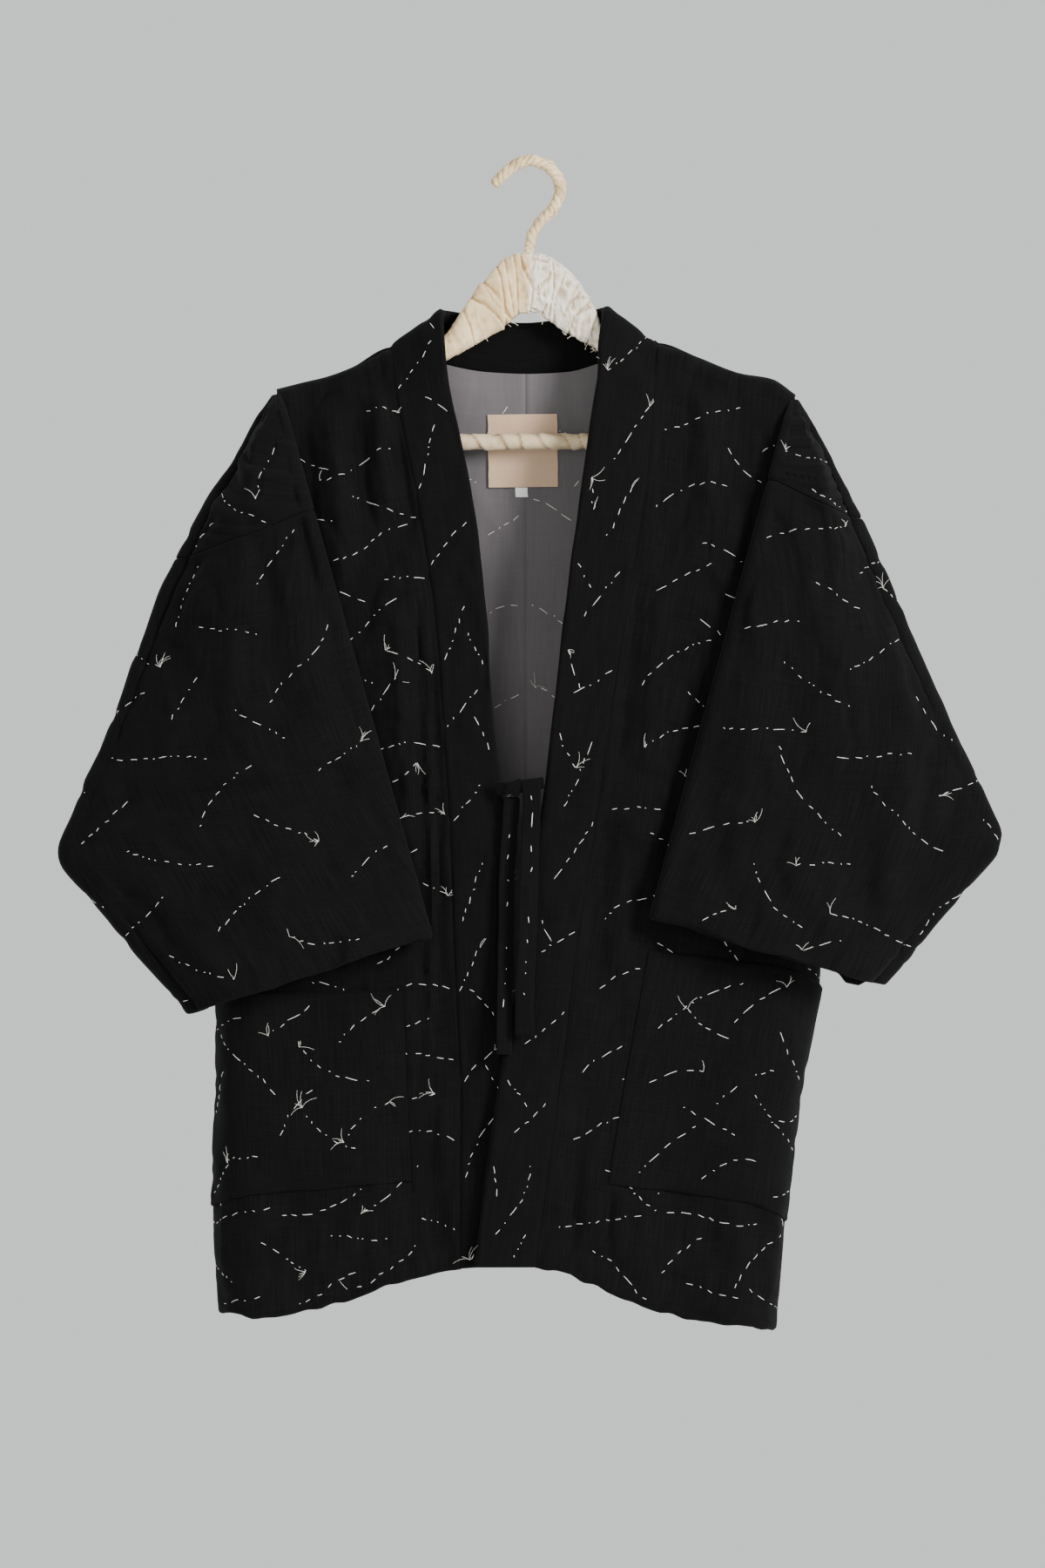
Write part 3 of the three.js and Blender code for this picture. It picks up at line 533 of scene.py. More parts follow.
def bil(G, q):
    i = np.clip(q[..., 0], 0, G.shape[0] - 1.001)
    j = np.clip(q[..., 1], 0, G.shape[1] - 1.001)
    a, b = i.astype(int), j.astype(int)
    fi, fj = (i - a)[..., None], (j - b)[..., None]
    return (G[a, b] * (1 - fi) + G[a + 1, b] * fi) * (1 - fj) + (G[a, b + 1] * (1 - fi) + G[a + 1, b + 1] * fi) * fj


def dents(P, runs, amp=1.4, sigma=3.4, reach=3):
    """Where a stitch pulls the padding in."""
    D = np.zeros(P.shape[:2])
    for r in runs:
        for q in r[::2]:
            i, j = int(round(q[0])), int(round(q[1]))
            a, b = max(i - reach, 0), max(j - reach, 0)
            w = P[a:i + reach + 1, b:j + reach + 1]
            c = bil(P, q[None])[0]
            d2 = ((w - c) ** 2).sum(-1)
            D[a:i + reach + 1, b:j + reach + 1] = np.maximum(D[a:i + reach + 1, b:j + reach + 1], amp * np.exp(-d2 / (2 * sigma ** 2)))
    return D


def tubes(lines, nrm, r, m=6):
    """Round threads along lines[k, n, 3]; nrm is the surface direction at each point."""
    M, n = lines.shape[:2]
    tan = unit(np.gradient(lines, axis=1))
    b = unit(np.cross(tan, nrm))
    c = np.cross(b, tan)
    th = 2 * math.pi * np.arange(m) / m
    rr = np.broadcast_to(r, (M, n))[..., None, None]
    V = lines[:, :, None] + rr * (b[:, :, None] * np.cos(th)[:, None] + c[:, :, None] * np.sin(th)[:, None])
    base = (np.arange(M) * n * m)[:, None, None]
    k, j = np.meshgrid(np.arange(n - 1), np.arange(m), indexing="ij")
    j2 = (j + 1) % m
    f = np.stack([k * m + j, k * m + j2, (k + 1) * m + j2, (k + 1) * m + j], -1).reshape(1, -1, 4) + base
    caps = np.stack([np.arange(m)[::-1], (n - 1) * m + np.arange(m)])[None] + base
    return V.reshape(-1, 3), f.reshape(-1, 4), caps.reshape(-1, m)


def stitches(name, out, N, runs, mat, rng, keep=None, dash=(3.2, 7.2), gap=(2.6, 6.6), radius=0.22, tuft=0.34, lift=0.36):
    L, NN = [], []
    T, TN, TR = [], [], []
    for r in runs:
        total = (len(r) - 1) * 1.5
        x = 0.0
        while x < total - 3:
            pick = rng.random()
            d = rng.uniform(0.9, 1.7) if pick < 0.34 else rng.uniform(9, 13) if pick > 0.9 else rng.uniform(*dash)
            u = np.clip(np.linspace(x, x + d, 5) / 1.5, 0, len(r) - 1)
            a = u.astype(int)
            b = np.minimum(a + 1, len(r) - 1)
            q = r[a] + (r[b] - r[a]) * (u - a)[:, None]
            p, n = bil(out, q), unit(bil(N, q))
            side = np.cross(n[2], p[-1] - p[0])
            p = p + side / (np.linalg.norm(side) + 1e-9) * (rng.uniform(-0.9, 0.9) + rng.uniform(-0.7, 0.7) * np.linspace(-1, 1, 5)[:, None])
            if keep is None or keep(p[2]):
                hump = np.array([-0.7, 0.85, 1.0, 0.85, -0.7])[:, None] * lift
                L.append(p + n * hump)
                NN.append(n)
            x += d + rng.uniform(*gap)
        for end in (0, -1):
            if rng.random() < tuft:
                q = r[end]
                p, n = bil(out, q[None])[0], unit(bil(N, q[None]))[0]
                if keep is not None and not keep(p):
                    continue
                e1 = unit(np.cross(n, [0.13, 0.2, 1.0]))
                e2 = np.cross(n, e1)
                an0 = -0.5 * math.pi + rng.normal(0, 0.9)
                for _ in range(rng.integers(2, 6)):
                    an = an0 + rng.normal(0, 0.6)
                    ln = rng.uniform(5, 15)
                    t = np.linspace(0, 1, 7)[:, None]
                    dirn = math.cos(an) * e1 + math.sin(an) * e2
                    bend = (math.cos(an + 1.6) * e1 + math.sin(an + 1.6) * e2) * rng.uniform(-0.7, 0.7)
                    line = p + dirn * ln * t * (1 - 0.15 * t) + bend * ln * t * t + n * (0.25 + rng.uniform(0.5, 1.9) * np.sin(math.pi * np.clip(t * 0.85, 0, 1)))
                    T.append(line)
                    TN.append(np.broadcast_to(n, line.shape))
    V, F, base = [], [], 0
    if L:
        v, f, c = tubes(np.array(L), np.array(NN), np.array([0.35, 1, 1, 1, 0.35]) * radius)
        V.append(v)
        F += [tuple(x) for x in f] + [tuple(x) for x in c]
        base = len(v)
    if T:
        v, f, c = tubes(np.array(T), np.array(TN), np.array([1, 1, 1, 0.95, 0.9, 0.8, 0.6]) * 0.11, 4)
        V.append(v)
        F += [tuple(x) for x in f + base] + [tuple(x) for x in c + base]
    ob = new_object(name, np.concatenate(V), F, mat)
    place(ob, None)
    return ob, len(L)


# ---------------------------------------------------------------- materials
def nodes_of(name):
    m = bpy.data.materials.new(name)
    m.use_nodes = True
    nt = m.node_tree
    return m, nt, nt.nodes["Principled BSDF"]


def add(nt, kind, **kw):
    n = nt.nodes.new(kind)
    for k, v in kw.items():
        if k.startswith("in_"):
            n.inputs[int(k[3:]) if k[3:].isdigit() else k[3:].replace("_", " ")].default_value = v
        else:
            setattr(n, k, v)
    return n


def math_node(nt, op, a, b=None):
    n = nt.nodes.new("ShaderNodeMath")
    n.operation = op
    for i, v in enumerate([a, b]):
        if v is None:
            continue
        if isinstance(v, (int, float)):
            n.inputs[i].default_value = v
        else:
            nt.links.new(v, n.inputs[i])
    return n.outputs[0]


def ramp(nt, fac, stops):
    n = nt.nodes.new("ShaderNodeValToRGB")
    el = n.color_ramp.elements
    while len(el) < len(stops):
        el.new(0.5)
    for e, (p, c) in zip(el, stops):
        e.position = p
        e.color = (*c, 1)
    nt.links.new(fac, n.inputs[0])
    return n.outputs[0]


def cloth_material(name, dark, light, weave=0.0011, slub=1.0, rough=(0.8, 0.95), sheen=0.06, bump=0.25, spec=0.25):
    """Woven cotton: threads both ways on the UVs (metres), slubs down the warp, and a mottled shade."""
    m, nt, bsdf = nodes_of(name)
    tc = add(nt, "ShaderNodeTexCoord")
    sep = add(nt, "ShaderNodeSeparateXYZ")
    nt.links.new(tc.outputs["UV"], sep.inputs[0])
    u, v = sep.outputs[0], sep.outputs[1]
    k = 2 * math.pi / weave
    su = math_node(nt, "SINE", math_node(nt, "MULTIPLY", u, k))
    sv = math_node(nt, "SINE", math_node(nt, "MULTIPLY", v, k))
    wv = math_node(nt, "MULTIPLY", su, sv)
    mp = add(nt, "ShaderNodeMapping")
    mp.inputs["Scale"].default_value = (900, 26, 1)
    nt.links.new(tc.outputs["UV"], mp.inputs["Vector"])
    warp = add(nt, "ShaderNodeTexNoise")
    warp.inputs["Scale"].default_value = 1.0
    warp.inputs["Detail"].default_value = 3
    nt.links.new(mp.outputs[0], warp.inputs["Vector"])
    mp2 = add(nt, "ShaderNodeMapping")
    mp2.inputs["Scale"].default_value = (30, 800, 1)
    nt.links.new(tc.outputs["UV"], mp2.inputs["Vector"])
    weft = add(nt, "ShaderNodeTexNoise")
    weft.inputs["Scale"].default_value = 1.0
    weft.inputs["Detail"].default_value = 2
    nt.links.new(mp2.outputs[0], weft.inputs["Vector"])
    big = add(nt, "ShaderNodeTexNoise")
    big.inputs["Scale"].default_value = 14
    big.inputs["Detail"].default_value = 4
    nt.links.new(tc.outputs["Object"], big.inputs["Vector"])
    mix = math_node(nt, "MULTIPLY", warp.outputs["Fac"], 0.5 * slub)
    mix = math_node(nt, "ADD", mix, math_node(nt, "MULTIPLY", weft.outputs["Fac"], 0.25 * slub))
    mix = math_node(nt, "ADD", mix, math_node(nt, "MULTIPLY", big.outputs["Fac"], 0.4))
    mix = math_node(nt, "ADD", mix, math_node(nt, "MULTIPLY", wv, 0.06))
    fac = math_node(nt, "MULTIPLY", mix, 0.9 / (0.375 * slub + 0.2 + 0.2))
    fac = math_node(nt, "SUBTRACT", fac, 0.4)
    nt.links.new(ramp(nt, fac, [(0.1, dark), (0.9, light)]), bsdf.inputs["Base Color"])
    rg = ramp(nt, big.outputs["Fac"], [(0.3, (rough[0],) * 3), (0.7, (rough[1],) * 3)])
    nt.links.new(rg, bsdf.inputs["Roughness"])
    hgt = math_node(nt, "ADD", math_node(nt, "MULTIPLY", wv, 0.5), math_node(nt, "MULTIPLY", warp.outputs["Fac"], 0.9))
    hgt = math_node(nt, "ADD", hgt, math_node(nt, "MULTIPLY", weft.outputs["Fac"], 0.6))
    bp = add(nt, "ShaderNodeBump")
    bp.inputs["Strength"].default_value = bump
    bp.inputs["Distance"].default_value = 0.0006
    nt.links.new(hgt, bp.inputs["Height"])
    nt.links.new(bp.outputs[0], bsdf.inputs["Normal"])
    bsdf.inputs["Sheen Weight"].default_value = sheen
    bsdf.inputs["Sheen Roughness"].default_value = 0.5
    bsdf.inputs["Specular IOR Level"].default_value = spec
    return m


def thread_material():
    m, nt, bsdf = nodes_of("white_thread")
    tc = add(nt, "ShaderNodeTexCoord")
    n = add(nt, "ShaderNodeTexNoise")
    n.inputs["Scale"].default_value = 900
    nt.links.new(tc.outputs["Object"], n.inputs["Vector"])
    nt.links.new(ramp(nt, n.outputs["Fac"], [(0.3, (0.60, 0.57, 0.51)), (0.7, (0.86, 0.83, 0.77))]), bsdf.inputs["Base Color"])
    bp = add(nt, "ShaderNodeBump")
    bp.inputs["Strength"].default_value = 0.4
    bp.inputs["Distance"].default_value = 0.0002
    nt.links.new(n.outputs["Fac"], bp.inputs["Height"])
    nt.links.new(bp.outputs[0], bsdf.inputs["Normal"])
    bsdf.inputs["Roughness"].default_value = 0.75
    return m


def wrap_material(name, deep, pale, white=None):
    """Torn cotton wound round the hanger; white is the paler half's colour, by place along X; painted shade darkens the
    creases through a vertex colour.
    """
    m, nt, bsdf = nodes_of(name)
    tc = add(nt, "ShaderNodeTexCoord")
    n1 = add(nt, "ShaderNodeTexNoise")
    n1.inputs["Scale"].default_value = 60
    n1.inputs["Detail"].default_value = 5
    nt.links.new(tc.outputs["Object"], n1.inputs["Vector"])
    n2 = add(nt, "ShaderNodeTexNoise")
    n2.inputs["Scale"].default_value = 1500
    nt.links.new(tc.outputs["Object"], n2.inputs["Vector"])
    fac = math_node(nt, "ADD", math_node(nt, "MULTIPLY", n1.outputs["Fac"], 0.75), math_node(nt, "MULTIPLY", n2.outputs["Fac"], 0.25))
    col = ramp(nt, fac, [(0.36, deep), (0.62, pale)])
    if white:
        sep = add(nt, "ShaderNodeSeparateXYZ")
        nt.links.new(tc.outputs["Object"], sep.inputs[0])
        edge = math_node(nt, "ADD", sep.outputs[0], math_node(nt, "MULTIPLY", math_node(nt, "SUBTRACT", n1.outputs["Fac"], 0.5), 0.006))
        st = ramp(nt, math_node(nt, "MULTIPLY_ADD", edge, 400.0), [(0.0, (0, 0, 0)), (1.0, (1, 1, 1))])
        mx = add(nt, "ShaderNodeMix")
        mx.data_type = "RGBA"
        nt.links.new(st, mx.inputs[0])
        nt.links.new(col, mx.inputs[6])
        nt.links.new(ramp(nt, fac, [(0.36, white[0]), (0.62, white[1])]), mx.inputs[7])
        col = mx.outputs[2]
    # painted shade: where the crease vertex colour is high, the colour is multiplied by a dark brown
    cr = add(nt, "ShaderNodeVertexColor")
    cr.layer_name = "crease_shade"
    mu = add(nt, "ShaderNodeMix")
    mu.data_type = "RGBA"
    mu.blend_type = "MULTIPLY"
    nt.links.new(cr.outputs["Color"], mu.inputs[0])
    nt.links.new(col, mu.inputs[6])
    mu.inputs[7].default_value = (0.50, 0.40, 0.29, 1)
    nt.links.new(mu.outputs[2], bsdf.inputs["Base Color"])
    bp = add(nt, "ShaderNodeBump")
    bp.inputs["Strength"].default_value = 0.45
    bp.inputs["Distance"].default_value = 0.0004
    nt.links.new(fac, bp.inputs["Height"])
    nt.links.new(bp.outputs[0], bsdf.inputs["Normal"])
    bsdf.inputs["Roughness"].default_value = 0.85
    bsdf.inputs["Sheen Weight"].default_value = 0.08
    return m


INK = cloth_material("ink_cotton", (0.0007, 0.0007, 0.0008), (0.0080, 0.0074, 0.0078), rough=(0.82, 0.95), sheen=0.014, spec=0.07)
INK_BAND = cloth_material("ink_cotton_band", (0.0008, 0.0008, 0.0009), (0.0062, 0.0059, 0.0062), rough=(0.8, 0.93), sheen=0.014, spec=0.07)
GREY = cloth_material("grey_lining", (0.088, 0.080, 0.083), (0.150, 0.137, 0.142), weave=0.0007, slub=0.6, rough=(0.75, 0.88), bump=0.12)
LABEL = cloth_material("label_cloth", (0.46, 0.315, 0.21), (0.575, 0.41, 0.28), weave=0.0009, slub=0.5, rough=(0.7, 0.82), bump=0.2)
TAB = cloth_material("white_tab", (0.66, 0.65, 0.63), (0.80, 0.79, 0.76), weave=0.0006, slub=0.3, rough=(0.6, 0.7), bump=0.1)
THREAD = thread_material()
WRAP = wrap_material("cream_wrap", (0.59, 0.42, 0.22), (0.83, 0.64, 0.375), ((0.64, 0.57, 0.46), (0.84, 0.775, 0.655)))
WRAP2 = wrap_material("cream_wrap_bar", (0.43, 0.325, 0.19), (0.62, 0.49, 0.32))
WRAP3 = wrap_material("cream_wrap_hook", (0.48, 0.33, 0.165), (0.86, 0.665, 0.40))
FRAY = wrap_material("cream_fray", (0.80, 0.68, 0.50), (0.95, 0.86, 0.70))

# ---------------------------------------------------------------- folds seen on the cloth (places, width mm, height mm)
FOLDS = [
    ([(347, 468), (350, 560), (366, 700)], 9, -2.6), ([(378, 452), (388, 560), (398, 690)], 12, 2.2),
    ([(412, 470), (415, 560), (428, 640)], 9, -2.4), ([(455, 585), (432, 640), (398, 745)], 13, -4.0),
    ([(443, 440), (437, 520), (452, 612)], 12, 2.8), ([(463, 470), (468, 540), (474, 610)], 7, -2.0),
    ([(478, 640), (482, 800), (487, 1000), (484, 1260)], 4.5, -2.2), ([(497, 660), (503, 850), (506, 1050), (501, 1240)], 4.5, -1.7),
    ([(455, 700), (462, 820), (470, 980)], 9, 1.8),
    ([(150, 930), (240, 922), (310, 912), (430, 880)], 13, -2.8), ([(140, 900), (240, 890), (320, 880), (420, 850)], 16, 1.8),
    ([(387, 1068), (390, 1112)], 6, -2.2), ([(250, 700), (232, 800), (220, 900)], 22, -1.8),
    ([(330, 640), (352, 760), (380, 860)], 18, 1.8), ([(120, 1010), (180, 1060), (230, 1120)], 14, -1.6),
    ([(985, 880), (974, 960), (992, 1090)], 15, -2.8), ([(1040, 860), (1022, 960), (1008, 1060)], 16, 2.2),
    ([(880, 640), (868, 760), (850, 880)], 20, 1.8), ([(960, 620), (985, 740), (1010, 850)], 22, -1.6),
    ([(800, 880), (820, 960), (830, 1060)], 14, -1.6), ([(925, 700), (915, 820), (905, 940)], 20, -1.4),
    ([(770, 430), (775, 520), (768, 620)], 12, -1.8), ([(805, 440), (815, 520), (812, 640)], 13, 1.8),
    ([(845, 450), (852, 520), (846, 600)], 10, -1.8), ([(730, 640), (722, 760), (705, 880)], 10, -1.6),
    ([(700, 900), (690, 1050), (680, 1180)], 10, -1.5), ([(330, 1180), (326, 1300), (330, 1440)], 16, -1.2),
    ([(420, 1160), (424, 1300), (420, 1430)], 18, 1.2), ([(780, 1150), (774, 1300), (770, 1450)], 16, -1.2),
    ([(850, 1150), (842, 1300), (838, 1460)], 18, 1.2),
    ([(712, 1120), (703, 1225), (697, 1340)], 6, -1.8), ([(668, 1240), (662, 1350), (655, 1462)], 5, -1.9),
    ([(702, 1350), (700, 1400), (696, 1470)], 5, -1.7), ([(734, 560), (728, 640), (716, 760)], 6, -1.5),
    ([(765, 650), (752, 760), (742, 900)], 9, 1.6), ([(690, 930), (684, 1010), (672, 1130)], 7, -1.5),
    ([(300, 1190), (290, 1300), (296, 1400)], 9, -1.4), ([(372, 1140), (366, 1240), (372, 1330)], 8, -1.5),
    ([(452, 1130), (460, 1230), (452, 1380)], 7, -1.7), ([(500, 1250), (494, 1350), (500, 1440)], 6, -1.5),
    ([(186, 720), (215, 790), (262, 850)], 12, -1.8), ([(270, 560), (300, 640), (322, 730)], 10, -1.6),
    ([(1080, 820), (1062, 900), (1050, 980)], 9, -1.8), ([(930, 560), (948, 640), (944, 720)], 9, -1.6),
    ([(880, 980), (905, 1040), (950, 1085)], 10, -1.7), ([(1010, 700), (1030, 790), (1040, 850)], 10, 1.6),
]


def relief(s, t, seed, tall=1.0):
    """The soft lumps of hand-quilted padding."""
    big = 1.3 * vnoise(s, t, (46, 80), seed) + 1.25 * vnoise(s, t, (25, 36), seed + 1)
    # creases: sharp where two lumps meet
    cr = 1 - np.abs(vnoise(s + 9 * vnoise(s, t, 40, seed + 7), t, (30, 55), seed + 4)) * 3.2
    up = 1 - np.abs(vnoise(s + 7 * vnoise(s, t, (30, 60), seed + 8), t, (21, 150), seed + 9)) * 4.5
    fine = 0.62 * vnoise(s, t, (12, 15), seed + 2) + 0.25 * vnoise(s, t, 7, seed + 6)
    return big + fine + 0.75 * tall * vnoise(s, t, (17, 110), seed + 3) - 1.2 * np.clip(cr, 0, 1) ** 2 - 0.95 * tall * np.clip(up, 0, 1) ** 1.5


def seam_taper(d, reach=7.0, least=0.42):
    return least + (1 - least) * np.sqrt(np.clip(1 - (1 - np.clip(d / reach, 0, 1)) ** 2, 0, 1))


def hem_taper(d, r=3.4):
    return np.maximum(np.sqrt(np.clip(1 - (1 - np.clip(d / r, 0, 1)) ** 2, 0, 1)), 0.07)


def in_poly(a, h, poly):
    ins = False
    n = len(poly)
    for k in range(n):
        (x0, y0), (x1, y1) = poly[k], poly[(k + 1) % n]
        if (y0 > h) != (y1 > h) and a < (x1 - x0) * (h - y0) / (y1 - y0) + x0:
            ins = not ins
    return ins


def pic(p):
    return 608 + float(p[0]) / U, 190 - float(p[2]) / U


COVER = {"l": [(318, 445), (55, 990), (220, 1172), (488, 1072)], "r": [(912, 451), (1162, 975), (1010, 1140), (754, 1051)]}
POCKETS = {
    "r": dict(top=(744, 1090), bottom=(698, 1357), out=(1131, 1402)),
    "l": dict(top=(463, 1136), bottom=(473, 1355), out=(1140, 1385)),
}
tally = 0


def panel_rows(S):
    H = (S.hem - S.top) * U
    d = [NOSE * (1 - math.cos(t)) for t in np.linspace(0, math.pi / 2, 8)]
    d += list(np.linspace(NOSE, H - 9, int((H - 9 - NOSE) / STEP) + 1)[1:])
    d += [H - 6.4, H - 4.2, H - 2.6, H - 1.3, H - 0.45, H]
    return np.array(d) / H


def make_panel(S, back):
    global tally
    key = ("back_" if back else "front_") + S.key
    w = panel_rows(S)
    wide = abs(603.5 - 245 - TURN / U) * U if back else 164.0
    p = [0, 0.4 / wide, 1.3 / wide, 2.8 / wide, 5 / wide]
    p += list(np.linspace(8 / wide, 1, int((wide - 8) / STEP) + 1))
    p += list(1 + np.linspace(0, 1, 13)[1:-1]) + [1.965, 1.99, 2.0]
    p = np.array(p)
    P = panel(S, back, p[:, None], w[None, :])
    s, t = arcs(P)
    k = closed(S, w)[None, :]
    d_in, d_out, d_hem = s, s[-1:] - s, t[:, -1:] - t
    a, h = 608 + P[..., 0] / U, 190 - P[..., 2] / U
    # the hem is gently uneven
    wob = (1.6 * vnoise(s, 0 * s, 34, S.seed + 5 + 7 * back) + 1.5 * vnoise(s, 0 * s, 11, S.seed + 6) * smooth(26, 0, d_hem)) * smooth(60, 0, d_hem) * smooth(0, 14, d_in) * smooth(0, 14, d_out)
    P[..., 2] += wob
    N = grid_normals(P)
    ref = np.array([0, 1.0 if back else -1.0, 0.05])
    if (N[len(p) // 3, len(w) // 2] * ref).sum() < 0:
        N = -N
    slope = np.gradient(P[:, 0], axis=0)
    up = unit(np.stack([-slope[:, 2], 0 * slope[:, 0], slope[:, 0]], -1))
    up[up[:, 2] < 0] *= -1
    ar = a[:, 0]
    fold = np.ones(len(p), bool) if not back else (ar < 450) | (ar > 755)
    N[fold, 0] = up[fold]
    if not fold.all():
        N[~fold, 0] = (0, 1, 0)
    N[-1][k[0] >= 1] = (S.sgn, 0, 0)
    if back:
        P[..., 0] -= S.sgn * 0.45 * smooth(4, 0, d_in)
        P[..., 2] += 4.6 * smooth(14, 0, t) * (~fold)[:, None]
    edge = smooth(0, 12, d_in) * smooth(0, 10, t) * (1 - (1 - smooth(0, 12, d_out)) * 1.0)
    D = relief(s, t, S.seed * 3 + 40 * back, 0.9) * 1.8 * edge * smooth(0, 5, d_hem) * smooth(4, 26, d_out)
    if not back:
        D += folds(a, h, FOLDS) * edge * smooth(2.0, 1.6, np.broadcast_to(p[:, None], D.shape))
    else:
        D += (1.4 * vnoise(s, t, (30, 260), S.seed + 90) + 0.8 * vnoise(s, t, (14, 150), S.seed + 91)) * edge * smooth(30, 160, t)
    rng = np.random.default_rng(S.seed + (500 if back else 100))
    zone = (4, len(p) - 4, 9, len(w) - 6)
    sgn = -S.sgn if back else S.sgn
    runs = run_lines(P, N, zone, 66, 33, 70, -0.6 if sgn * S.sgn > 0 else 0.6, 0.009, rng, start=(18 + 22 * (S.sgn > 0), 30))
    D -= dents(P, runs)
    # a row of small puckers where the hem is turned up
    D -= 0.9 * np.exp(-((d_hem - 24) / 3.0) ** 2) * (0.6 + 0.4 * vnoise(s, 0 * s, 9, S.seed + 8)) * edge
    if not back:
        D += 1.0 * smooth(24, 10, d_hem) * edge * (0.5 + 0.5 * vnoise(s, 0 * s, 16, S.seed + 9))
    th = CLOTH * seam_taper(d_in, 7) * (1 - k * (1 - seam_taper(d_out, 6, 0.5))) * hem_taper(d_hem)
    if back:
        lowtop = smooth(8, 0, t) * (~fold)[:, None]
        th = th * (1 - 0.5 * lowtop)
    D = np.maximum(D, -(th - 1.4)) * np.clip(th / CLOTH * 1.3, 0, 1)
    ob, out = wall(key, P, N, th, D, INK)
    place(ob, key)
    pk = POCKETS[S.key]
    pp = [pk["top"], (S.side(pk["out"][0]) + 30 * S.sgn, pk["out"][0]), (S.side(pk["out"][1]) + 30 * S.sgn, pk["out"][1]), pk["bottom"]]

    def keep(x):
        aa, hh = pic(x)
        if back:
            return True
        return not in_poly(aa, hh, pp) and not in_poly(aa, hh, COVER[S.key])

    st, n = stitches("stitches_" + key, out, N, runs, THREAD, rng, keep, tuft=0.22)
    tally += n
    declare(P, False)
    return dict(P=P, out=out, N=N, p=p, w=w, S=S)


def find(fn, v, lo=0.0, hi=1.0):
    up = fn(hi) > fn(lo)
    for _ in range(30):
        m = (lo + hi) / 2
        if (fn(m) < v) == up:
            lo = m
        else:
            hi = m
    return (lo + hi) / 2


def make_pocket(fr):
    """The front's own displaced surface, moved out."""
    global tally
    S = fr["S"]
    pk = POCKETS[S.key]
    cols, rows = 34, 54
    grid = np.zeros((cols, rows, 2))
    vs = np.concatenate([[0, 0.004, 0.012, 0.028], np.linspace(0.05, 0.95, rows - 8), [0.972, 0.988, 0.996, 1]])
    us = np.concatenate([[0, 0.006, 0.018, 0.04], np.linspace(0.08, 1, cols - 4)])
    for j, v in enumerate(vs):
        a, h, ho = lerp(pk["top"][0], pk["bottom"][0], v), lerp(pk["top"][1], pk["bottom"][1], v), lerp(*pk["out"], v)
        pin = 0.3
        for _ in range(4):
            w = find(lambda x: 190 - float(panel(S, False, pin, x)[2]) / U, h)
            pin = find(lambda x: 608 + float(panel(S, False, x, w)[0]) / U, a)
        u5 = np.linspace(0, 1, 7)
        w5 = [find(lambda x, pq=lerp(pin, 1.9, float(u)): 190 - float(panel(S, False, pq, x)[2]) / U, lerp(h, ho, float(u))) for u in u5]
        grid[:, j, 0] = np.interp(lerp(pin, 1.9, us), fr["p"], np.arange(len(fr["p"])))
        grid[:, j, 1] = np.interp(np.interp(us, u5, w5), fr["w"], np.arange(len(fr["w"])))
    N = unit(bil(fr["N"], grid))
    base = bil(fr["out"], grid)
    # keep the pocket's own surface smoother than what it lies on
    P = base.copy()
    for _ in range(6):
        P[1:-1, 1:-1] = (P[:-2, 1:-1] + P[2:, 1:-1] + P[1:-1, :-2] + P[1:-1, 2:]) / 4
    P = P + N * 0.35
    s, t = arcs(P)
    d = np.minimum(np.minimum(s, t), t[:, -1:] - t)
    th = 2.0 * (0.3 + 0.7 * np.sqrt(np.clip(1 - (1 - np.clip(d / 3.5, 0, 1)) ** 2, 0, 1)))
    P = P + N * (th / 2)[..., None]
    rng = np.random.default_rng(S.seed + 900)
    D = (0.5 * vnoise(s, t, 26, S.seed + 70) + 0.25 * vnoise(s, t, 11, S.seed + 71)) * smooth(0, 8, d)
    D -= 0.35 * np.exp(-((d - 5.0) / 1.6) ** 2)      # the line of stitching round the pocket
    # the mouth stands a little proud
    D += 0.5 * smooth(16, 0, t) * smooth(0, 3, t) * smooth(0, 12, s)
    runs = run_lines(P, N, (3, cols - 2, 4, rows - 5), 66, 33, 70, -0.6 if S.sgn > 0 else 0.6, 0.009, rng, start=(22, 20))
    D -= dents(P, runs, 0.9, 3.0)
    D = np.maximum(D, -(th - 0.9))
    ob, out = wall("pocket_" + S.key, P, N, th, D, INK)
    place(ob, "pocket_" + S.key)

    def keep(x):
        return not in_poly(*pic(x), COVER[S.key])

    st, n = stitches("stitches_pocket_" + S.key, out, N, runs, THREAD, rng, keep, tuft=0.25)
    tally += n
    declare(P, False)


def make_sleeve(S):
    global tally
    fs = np.linspace(0.012, 1, 400)
    lat, qs = zip(*(ring(S, float(f)) for f in fs))
    lat, qs = np.array(lat), np.array(qs)           # [f, i, 3]

    def sample(F):                                    # F[i, j]
        x = (F - fs[0]) / (fs[-1] - fs[0]) * (len(fs) - 1)
        x = np.clip(x, 0, len(fs) - 1.0001)
        k = x.astype(int)
        g = (x - k)[..., None]
        i = np.arange(F.shape[0])[:, None]
        return lat[k, i] * (1 - g) + lat[k + 1, i] * g

    cuts = np.array([cut_ray(S, i) for i in range(NR)])
    # --- dropped shoulder
    r = np.concatenate([np.linspace(0, 0.94, 38), [0.955, 0.97, 0.982, 0.991, 0.997, 1.0]])
    Fs = lerp(0.012, np.minimum(cuts - 0.0009, F_U - 0.02)[:, None], r[None, :] ** 0.85)
    P = sample(Fs)
    name = "shoulder_" + S.key
    build_ring(S, name, P, Fs, qs, fs, False, 0)
    # --- sleeve
    r = np.concatenate([[0, 0.0015, 0.004, 0.009, 0.016], np.linspace(0.026, 0.976, 90), [0.984, 0.990, 0.9945, 0.9975, 0.9992, 1.0]])
    Fs = lerp((cuts[:-1] + 0.0004)[:, None], 1.0, r[None, :])
    P = sample(np.concatenate([Fs, Fs[:1]]))[:-1]
    build_ring(S, "sleeve_" + S.key, P, Fs, qs, fs, True, 1)


